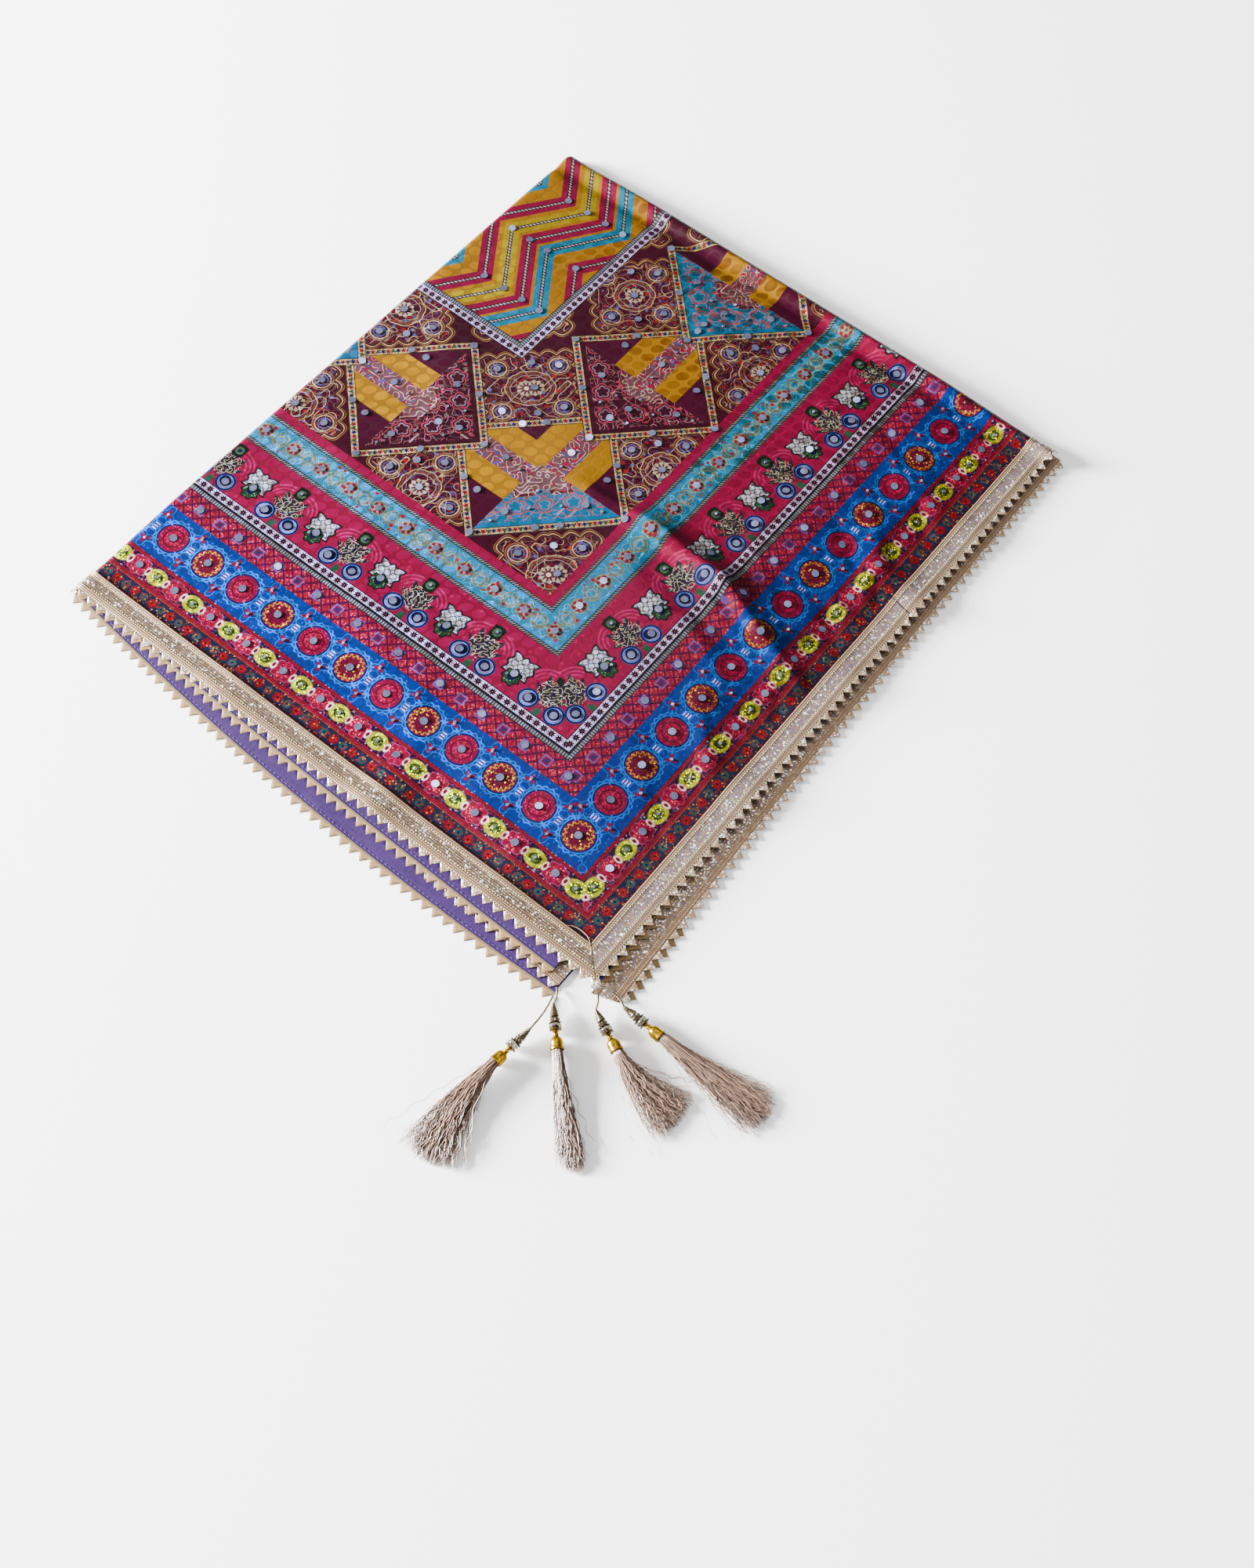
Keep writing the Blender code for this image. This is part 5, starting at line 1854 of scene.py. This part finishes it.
# %% [markdown]
# ## The tassels
#
# Each of the four tassels hangs from a corner of a layer: a cord of twisted metal thread, a slim
# filigree cone, a row of beads with two rings of spikes, a polished bell cap, and a bundle of
# crinkled silk. All its parts lie on one line, which is worked out from the same points as in the
# plain model. Long thin things are tubes round a list of points, made by one function.

# %% Sizes of the tassels
TASSEL_COLUMNS = ("name", "root_along", "root_across", "root_height", "tip_along", "tip_across",
                  "aim_along", "aim_across", "end_along", "end_across", "half_spread")
TASSELS = (
    ("tassel_1", -0.0178, 0.0209, 0.0009, -0.0446, 0.0169, -0.0760, 0.0201, -0.1475, 0.0125,
     0.0190),
    ("tassel_2", -0.0125, 0.0222, 0.0021, -0.0230, 0.0164, -0.0445, -0.0043, -0.0965, -0.0600,
     0.0090),
    ("tassel_3", -0.0005, -0.0006, 0.0061, -0.0095, -0.0062, -0.0200, -0.0286, -0.0335, -0.0905,
     0.0205),
    ("tassel_4", 0.0062, -0.0066, 0.0040, 0.0029, -0.0186, 0.0018, -0.0492, 0.0030, -0.1300,
     0.0190),
)
AXIS_HEIGHT = 0.0053
CONE_LENGTH = 0.0090
BEADS_LENGTH = 0.0100
CAP_LENGTH = 0.0110
CONE_PROFILE = ((0.0000, 0.00), (0.0008, 0.01), (0.0010, 0.12), (0.0014, 0.40), (0.0019, 0.58),
                (0.0024, 0.78), (0.0028, 0.88), (0.0030, 0.96), (0.0026, 1.00), (0.0000, 1.00))
BALL_PROFILE = tuple((0.0041 * math.sin(math.pi * i / 14),
                      0.58 - 0.205 * math.cos(math.pi * i / 14))
                     for i in range(15))
BUD_PROFILE = ((0.0000, 0.84), (0.0018, 0.86), (0.0023, 0.91), (0.0018, 0.97), (0.0000, 1.00))
CAP_PROFILE = ((0.0000, 0.00), (0.0013, 0.00), (0.0018, 0.05), (0.0019, 0.09), (0.0015, 0.16),
               (0.0019, 0.21), (0.0027, 0.27), (0.0036, 0.37), (0.0041, 0.50), (0.0042, 0.62),
               (0.0042, 0.84), (0.0044, 0.88), (0.0045, 0.93), (0.0044, 0.99), (0.0041, 1.00),
               (0.0038, 0.97), (0.0036, 0.60), (0.0000, 0.45))
RING_RADIUS = 0.0047
RING_PLACES = (0.36, 0.80)
TURNED_SIDES = 40
CORD_RADIUS = 0.00042
STRANDS = 290
STRAND_RADIUS = 0.00022
STRAND_STEPS = 34
HEAD_RADIUS = 0.0034
SILK_CLEARANCE = 0.0003


# %% Tubes and turned parts
def tube(points, radii, sides, verts, faces, tones=None, tone=0.0):
    """Adds a closed tube round a line of points to lists of vertices and faces."""
    first = len(verts)
    last = len(points) - 1
    for i, point in enumerate(points):
        heading = points[min(i + 1, last)] - points[max(i - 1, 0)]
        across = heading.cross(Vector((0.13, 0.21, 0.97))).normalized()
        rise = across.cross(heading).normalized()
        for k in range(sides):
            turn = 2 * math.pi * k / sides
            verts.append(point + (across * math.cos(turn) + rise * math.sin(turn)) * radii[i])
    if tones is not None:
        tones.extend([tone] * (sides * len(points)))
    for i in range(last):
        for k in range(sides):
            a, b = first + i * sides + k, first + i * sides + (k + 1) % sides
            faces.append((a, b, b + sides, a + sides))
    faces.append(tuple(first + k for k in reversed(range(sides))))
    faces.append(tuple(first + last * sides + k for k in range(sides)))


def plain_mesh(name, verts, faces, material, tones=None):
    mesh = bpy.data.meshes.new(name)
    mesh.from_pydata([tuple(vert) for vert in verts], [], faces)
    if tones is not None:
        attribute = mesh.attributes.new("tone", "FLOAT", "POINT")
        attribute.data.foreach_set("value", tones)
    mesh.materials.append(material)
    mesh.shade_smooth()
    mesh.set_sharp_from_angle(angle=math.radians(45))
    piece = linked(name, mesh)
    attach(piece, "root")
    return piece


def frame_on(start, direction):
    """Turns a part made along +Z from the origin onto a line."""
    turn = Vector((0, 0, 1)).rotation_difference(direction).to_matrix().to_4x4()
    return Matrix.Translation(start) @ turn


def turned(verts, faces, profile, length, placing, flutes=0, depth=0.0):
    """Adds a turned part to lists of vertices and faces. Flutes make its sides ribbed."""
    first = len(verts)
    for reach, share in profile:
        for k in range(TURNED_SIDES):
            turn = 2 * math.pi * k / TURNED_SIDES
            ribbed = reach * (1 + depth * math.cos(flutes * turn))
            spot = Vector((ribbed * math.cos(turn), ribbed * math.sin(turn), share * length))
            verts.append(placing @ spot)
    for i in range(len(profile) - 1):
        for k in range(TURNED_SIDES):
            a = first + i * TURNED_SIDES + k
            b = first + i * TURNED_SIDES + (k + 1) % TURNED_SIDES
            faces.append((a, b, b + TURNED_SIDES, a + TURNED_SIDES))


def welded(piece):
    """Closes the poles of a turned piece and turns its faces outwards."""
    bm = bmesh.new()
    bm.from_mesh(piece.data)
    bmesh.ops.remove_doubles(bm, verts=bm.verts, dist=0.000004)
    bmesh.ops.dissolve_degenerate(bm, edges=bm.edges, dist=0.000004)
    bmesh.ops.recalc_face_normals(bm, faces=bm.faces)
    bm.to_mesh(piece.data)
    bm.free()
    return piece


# %% Materials of the tassels
def metal_material(name, dark, light, roughness, scale, metallic=1.0):
    """A metal mottled darker and lighter by a soft noise, with fine scratches."""
    material, tree, place = new_material(name)
    cloudy = noise(tree, place, scale, 3.0)
    fine = noise(tree, place, scale * 6, 2.0)
    tint = mix_colour(tree, cloudy.calc("MULTIPLY_ADD", 2.2, -0.6, clamp=True), ink(dark),
                      ink(light))
    values = {
        "Base Color": tint,
        "Roughness": fine.calc("MULTIPLY_ADD", 0.2, roughness),
        "Metallic": metallic,
    }
    return shaded(material, values, fine * 0.0002, 0.4)


def crystal_material():
    """Clear cut glass with a faint green in it."""
    material, tree, place = new_material("crystal")
    cloudy = noise(tree, place, 500.0, 2.0)
    tint = mix_colour(tree, cloudy, ink("5f5d50"), ink("948e76"))
    values = {
        "Base Color": tint,
        "Roughness": cloudy.calc("MULTIPLY_ADD", 0.06, 0.02),
        "Transmission Weight": 0.92,
        "IOR": 1.52,
    }
    return shaded(material, values)


def silk_material():
    """Silk strands: each has its own tone, and shines along its length."""
    material, tree, place = new_material("tassel_silk")
    attribute = tree.nodes.new("ShaderNodeAttribute")
    attribute.attribute_name = "tone"
    tone = Number(attribute.outputs["Fac"])
    fine = noise(tree, place, 700.0, 2.0)
    share = (tone + fine * 0.5 - 0.25).calc("ADD", 0.0, clamp=True)
    colour = mix_colour(tree, share, ink("2d231f"), ink("91715e"))
    values = {
        "Base Color": colour,
        "Roughness": 0.42,
        "Anisotropic": 0.5,
        "Specular IOR Level": 0.4,
    }
    return shaded(material, values)


gold = metal_material("polished_gold", "40341d", "cc9c00", 0.12, 320.0)
filigree = metal_material("antique_gold", "2e2a23", "7d6f55", 0.25, 900.0)
cord_metal = metal_material("metallic_cord", "2d2b26", "776a51", 0.36, 1200.0, 0.8)
crystal = crystal_material()
silk = silk_material()


# %% Cords
def twisted_cord(name, points, ply_radius, pitch, material, plies=2):
    """Two thin plies wound round a line of points."""
    verts, faces = [], []
    lengths = [0.0]
    for a, b in zip(points, points[1:]):
        lengths.append(lengths[-1] + (b - a).length)
    steps = max(12, round(lengths[-1] / pitch * 8))
    middle = []
    for i in range(steps + 1):
        at = lengths[-1] * i / steps
        k = max(j for j in range(len(points) - 1) if lengths[j] <= at + 1e-9)
        span = lengths[k + 1] - lengths[k]
        middle.append(points[k].lerp(points[k + 1], (at - lengths[k]) / span))
    for ply in range(plies):
        line_points = []
        for i, point in enumerate(middle):
            heading = middle[min(i + 1, steps)] - middle[max(i - 1, 0)]
            across = heading.cross(Vector((0.1, 0.2, 0.97))).normalized()
            rise = across.cross(heading).normalized()
            turn = 2 * math.pi * (i / 8 + ply / plies)
            offset = (across * math.cos(turn) + rise * math.sin(turn)) * ply_radius * 0.85
            line_points.append(point + offset)
        tube(line_points, [ply_radius] * (steps + 1), 5, verts, faces)
    return plain_mesh(name, verts, faces, material)


# %% Silk
def silk_bundle(name, mouth, end, aim, half_spread, seed):
    """Crinkled strands that leave the cap together, fan out and come down to the floor."""
    random = np.random.default_rng(seed)
    reach = (end - mouth).length
    control = mouth + aim * (0.45 * reach)
    verts, faces, tones = [], [], []
    widest = half_spread * 1.12
    for _ in range(STRANDS):
        ring = HEAD_RADIUS * math.sqrt(random.random())
        turn = 2 * math.pi * random.random()
        side_share = ring * math.cos(turn) / HEAD_RADIUS
        up_share = ring * math.sin(turn) / HEAD_RADIUS
        stray = random.random() < 0.11
        scatter = random.normal(0, 0.18 if not stray else 0.62)
        shorter = 0.10 * side_share**2 + abs(random.normal(0, 0.05)) + (0.12 * random.random()
                                                                      if stray else 0)
        length = 1.02 - shorter
        wave = 2 * math.pi * random.random()
        waves = random.uniform(3.0, 9.0)
        crinkle = random.uniform(0.0004, 0.0010) * (1.8 if stray else 1.0)
        lock = math.sin(4.0 * side_share + seed) * 0.12
        points = []
        for i in range(STRAND_STEPS + 1):
            share = i / STRAND_STEPS * length
            middle = mouth.lerp(control, share).lerp(control.lerp(end, share), share)
            heading = ((control - mouth).lerp(end - control, share)).normalized()
            side = Vector((-heading.y, heading.x, 0))
            spread = share**1.35
            offset = side_share * HEAD_RADIUS * (1 - spread)
            offset += (side_share * (1 + lock) + scatter) * widest * spread * 0.86
            offset += crinkle * math.sin(wave + waves * 2 * math.pi * share) * (0.2 + share)
            floor_height = SILK_CLEARANCE + STRAND_RADIUS
            pile = (1 + up_share) * 0.5 * (0.0064 * max(0.0, 1 - share) ** 0.7 + 0.0016)
            height = floor_height + AXIS_HEIGHT * 0.30 * (1 - share) ** 2 + pile
            height += abs(crinkle * math.cos(wave * 2 + waves * 5 * share)) * share
            if i == 0:
                height = AXIS_HEIGHT + up_share * HEAD_RADIUS
            if i == 1:
                height = (height + AXIS_HEIGHT + up_share * HEAD_RADIUS) / 2
            place = middle + side * offset
            points.append(Vector((place.x, place.y, height)))
        points.insert(0, points[0] - aim * 0.0035)
        radii = [STRAND_RADIUS * (1.0 - 0.35 * (i / (STRAND_STEPS + 1)) ** 3)
                 for i in range(STRAND_STEPS + 2)]
        tube(points, radii, 3, verts, faces, tones, float(random.random()))
    return plain_mesh(name, verts, faces, silk, tones)


# %% Filigree, rings of spikes and beads
def wire_spiral(verts, faces, placing, low, high, low_radius, high_radius, turns, wire, phase):
    """A wire wound round the cone."""
    count = round(turns * 18)
    points = []
    for i in range(count + 1):
        share = i / count
        turn = 2 * math.pi * (turns * share) + phase
        reach = low_radius + (high_radius - low_radius) * share
        height = low + (high - low) * share
        points.append(placing @ Vector((reach * math.cos(turn), reach * math.sin(turn), height)))
    tube(points, [wire] * (count + 1), 4, verts, faces)


def spike_ring(verts, faces, placing, height, reach, spikes):
    """A flat star with raised spikes, which sits between two beads."""
    first = len(verts)
    count = spikes * 2
    for level, flat in ((-0.00045, 0.72), (0.0, 1.0), (0.00045, 0.72)):
        for k in range(count):
            turn = 2 * math.pi * k / count
            out = reach * flat * (1.0 if k % 2 else 0.70)
            spot = Vector((out * math.cos(turn), out * math.sin(turn), height + level))
            verts.append(placing @ spot)
    for level in range(2):
        for k in range(count):
            a = first + level * count + k
            b = first + level * count + (k + 1) % count
            faces.append((a, b, b + count, a + count))
    faces.append(tuple(first + k for k in reversed(range(count))))
    faces.append(tuple(first + 2 * count + k for k in range(count)))


def tassel(row, seed):
    name = row["name"]
    root = placed(row["root_along"], row["root_across"], row["root_height"])
    tip = placed(row["tip_along"], row["tip_across"], AXIS_HEIGHT)
    target = placed(row["aim_along"], row["aim_across"], AXIS_HEIGHT)
    end = placed(row["end_along"], row["end_across"], AXIS_HEIGHT)
    aim = (target - tip).normalized()
    cord_points = []
    for i in range(13):
        share = i / 12
        place = root.lerp(tip + aim * 0.0006, share)
        place.z = root.z + (tip.z - root.z) * ease(share)
        sag = math.sin(math.pi * share) * 0.0012
        cord_points.append(place + Vector((-aim.y, aim.x, 0)) * sag)
    cord = twisted_cord(f"{name}_cord_twist", cord_points, CORD_RADIUS, 0.0022, cord_metal)
    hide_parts(f"{name}_cord")
    placing = frame_on(tip, aim)
    verts, faces = [], []
    turned(verts, faces, CONE_PROFILE, CONE_LENGTH, placing)
    for phase in (0.0, math.pi):
        wire_spiral(verts, faces, placing, 0.0012, 0.0078, 0.0011, 0.0027, 2.5, 0.00022, phase)
        wire_spiral(verts, faces, placing, 0.0078, 0.0012, 0.0027, 0.0011, 2.5, 0.00022, phase)
    cone = welded(plain_mesh(f"{name}_filigree", verts, faces, filigree))
    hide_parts(f"{name}_cone")
    placing = frame_on(tip + aim * (CONE_LENGTH + GAP), aim)
    verts, faces = [], []
    turned(verts, faces, BALL_PROFILE, BEADS_LENGTH, placing)
    ball = welded(plain_mesh(f"{name}_ball", verts, faces, crystal))
    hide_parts(f"{name}_beads")
    verts, faces = [], []
    turned(verts, faces, ((0.0, 0.0), (0.0021, 0.02), (0.0030, 0.12), (0.0024, 0.27),
                          (0.0, 0.34)), BEADS_LENGTH, placing, 10, 0.10)
    for share in RING_PLACES:
        spike_ring(verts, faces, placing, share * BEADS_LENGTH, RING_RADIUS, 12)
    rings = welded(plain_mesh(f"{name}_rings", verts, faces, filigree))
    verts, faces = [], []
    turned(verts, faces, BUD_PROFILE, BEADS_LENGTH, placing)
    placing = frame_on(tip + aim * (CONE_LENGTH + BEADS_LENGTH + 2 * GAP), aim)
    turned(verts, faces, CAP_PROFILE, CAP_LENGTH, placing)
    cap = welded(plain_mesh(f"{name}_bell", verts, faces, gold))
    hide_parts(f"{name}_cap")
    mouth = tip + aim * (CONE_LENGTH + BEADS_LENGTH + CAP_LENGTH + 2 * GAP)
    bundle = silk_bundle(f"{name}_strands", mouth, end, aim, row["half_spread"], seed)
    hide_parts(f"{name}_silk")
    return bundle


bundles = [tassel(row, 11 + i) for i, row in enumerate(rows(TASSEL_COLUMNS, TASSELS))]
print("tassels", len(bundles), "with", sum(len(b.data.polygons) for b in bundles), "silk faces")

# %% The loose thread
THREAD_RADIUS = 0.00024
THREAD_PLACES = ((0.0215, 0.0232), (0.0238, 0.0250), (0.0256, 0.0285), (0.0262, 0.0330),
                 (0.0258, 0.0375), (0.0244, 0.0410), (0.0222, 0.0432))
thread_verts, thread_faces = [], []
thread_points = [panel_point(along, across, GAP + THREAD_RADIUS + (LACE_THICKNESS if min(
    along, across) < LACE_WIDTH else 0)) for along, across in THREAD_PLACES]
tube(thread_points, [THREAD_RADIUS] * len(thread_points), 6, thread_verts, thread_faces)
thread = plain_mesh("loose_thread", thread_verts, thread_faces, silk,
                    [1.0] * len(thread_verts))
print("loose thread", len(thread_faces), "faces")
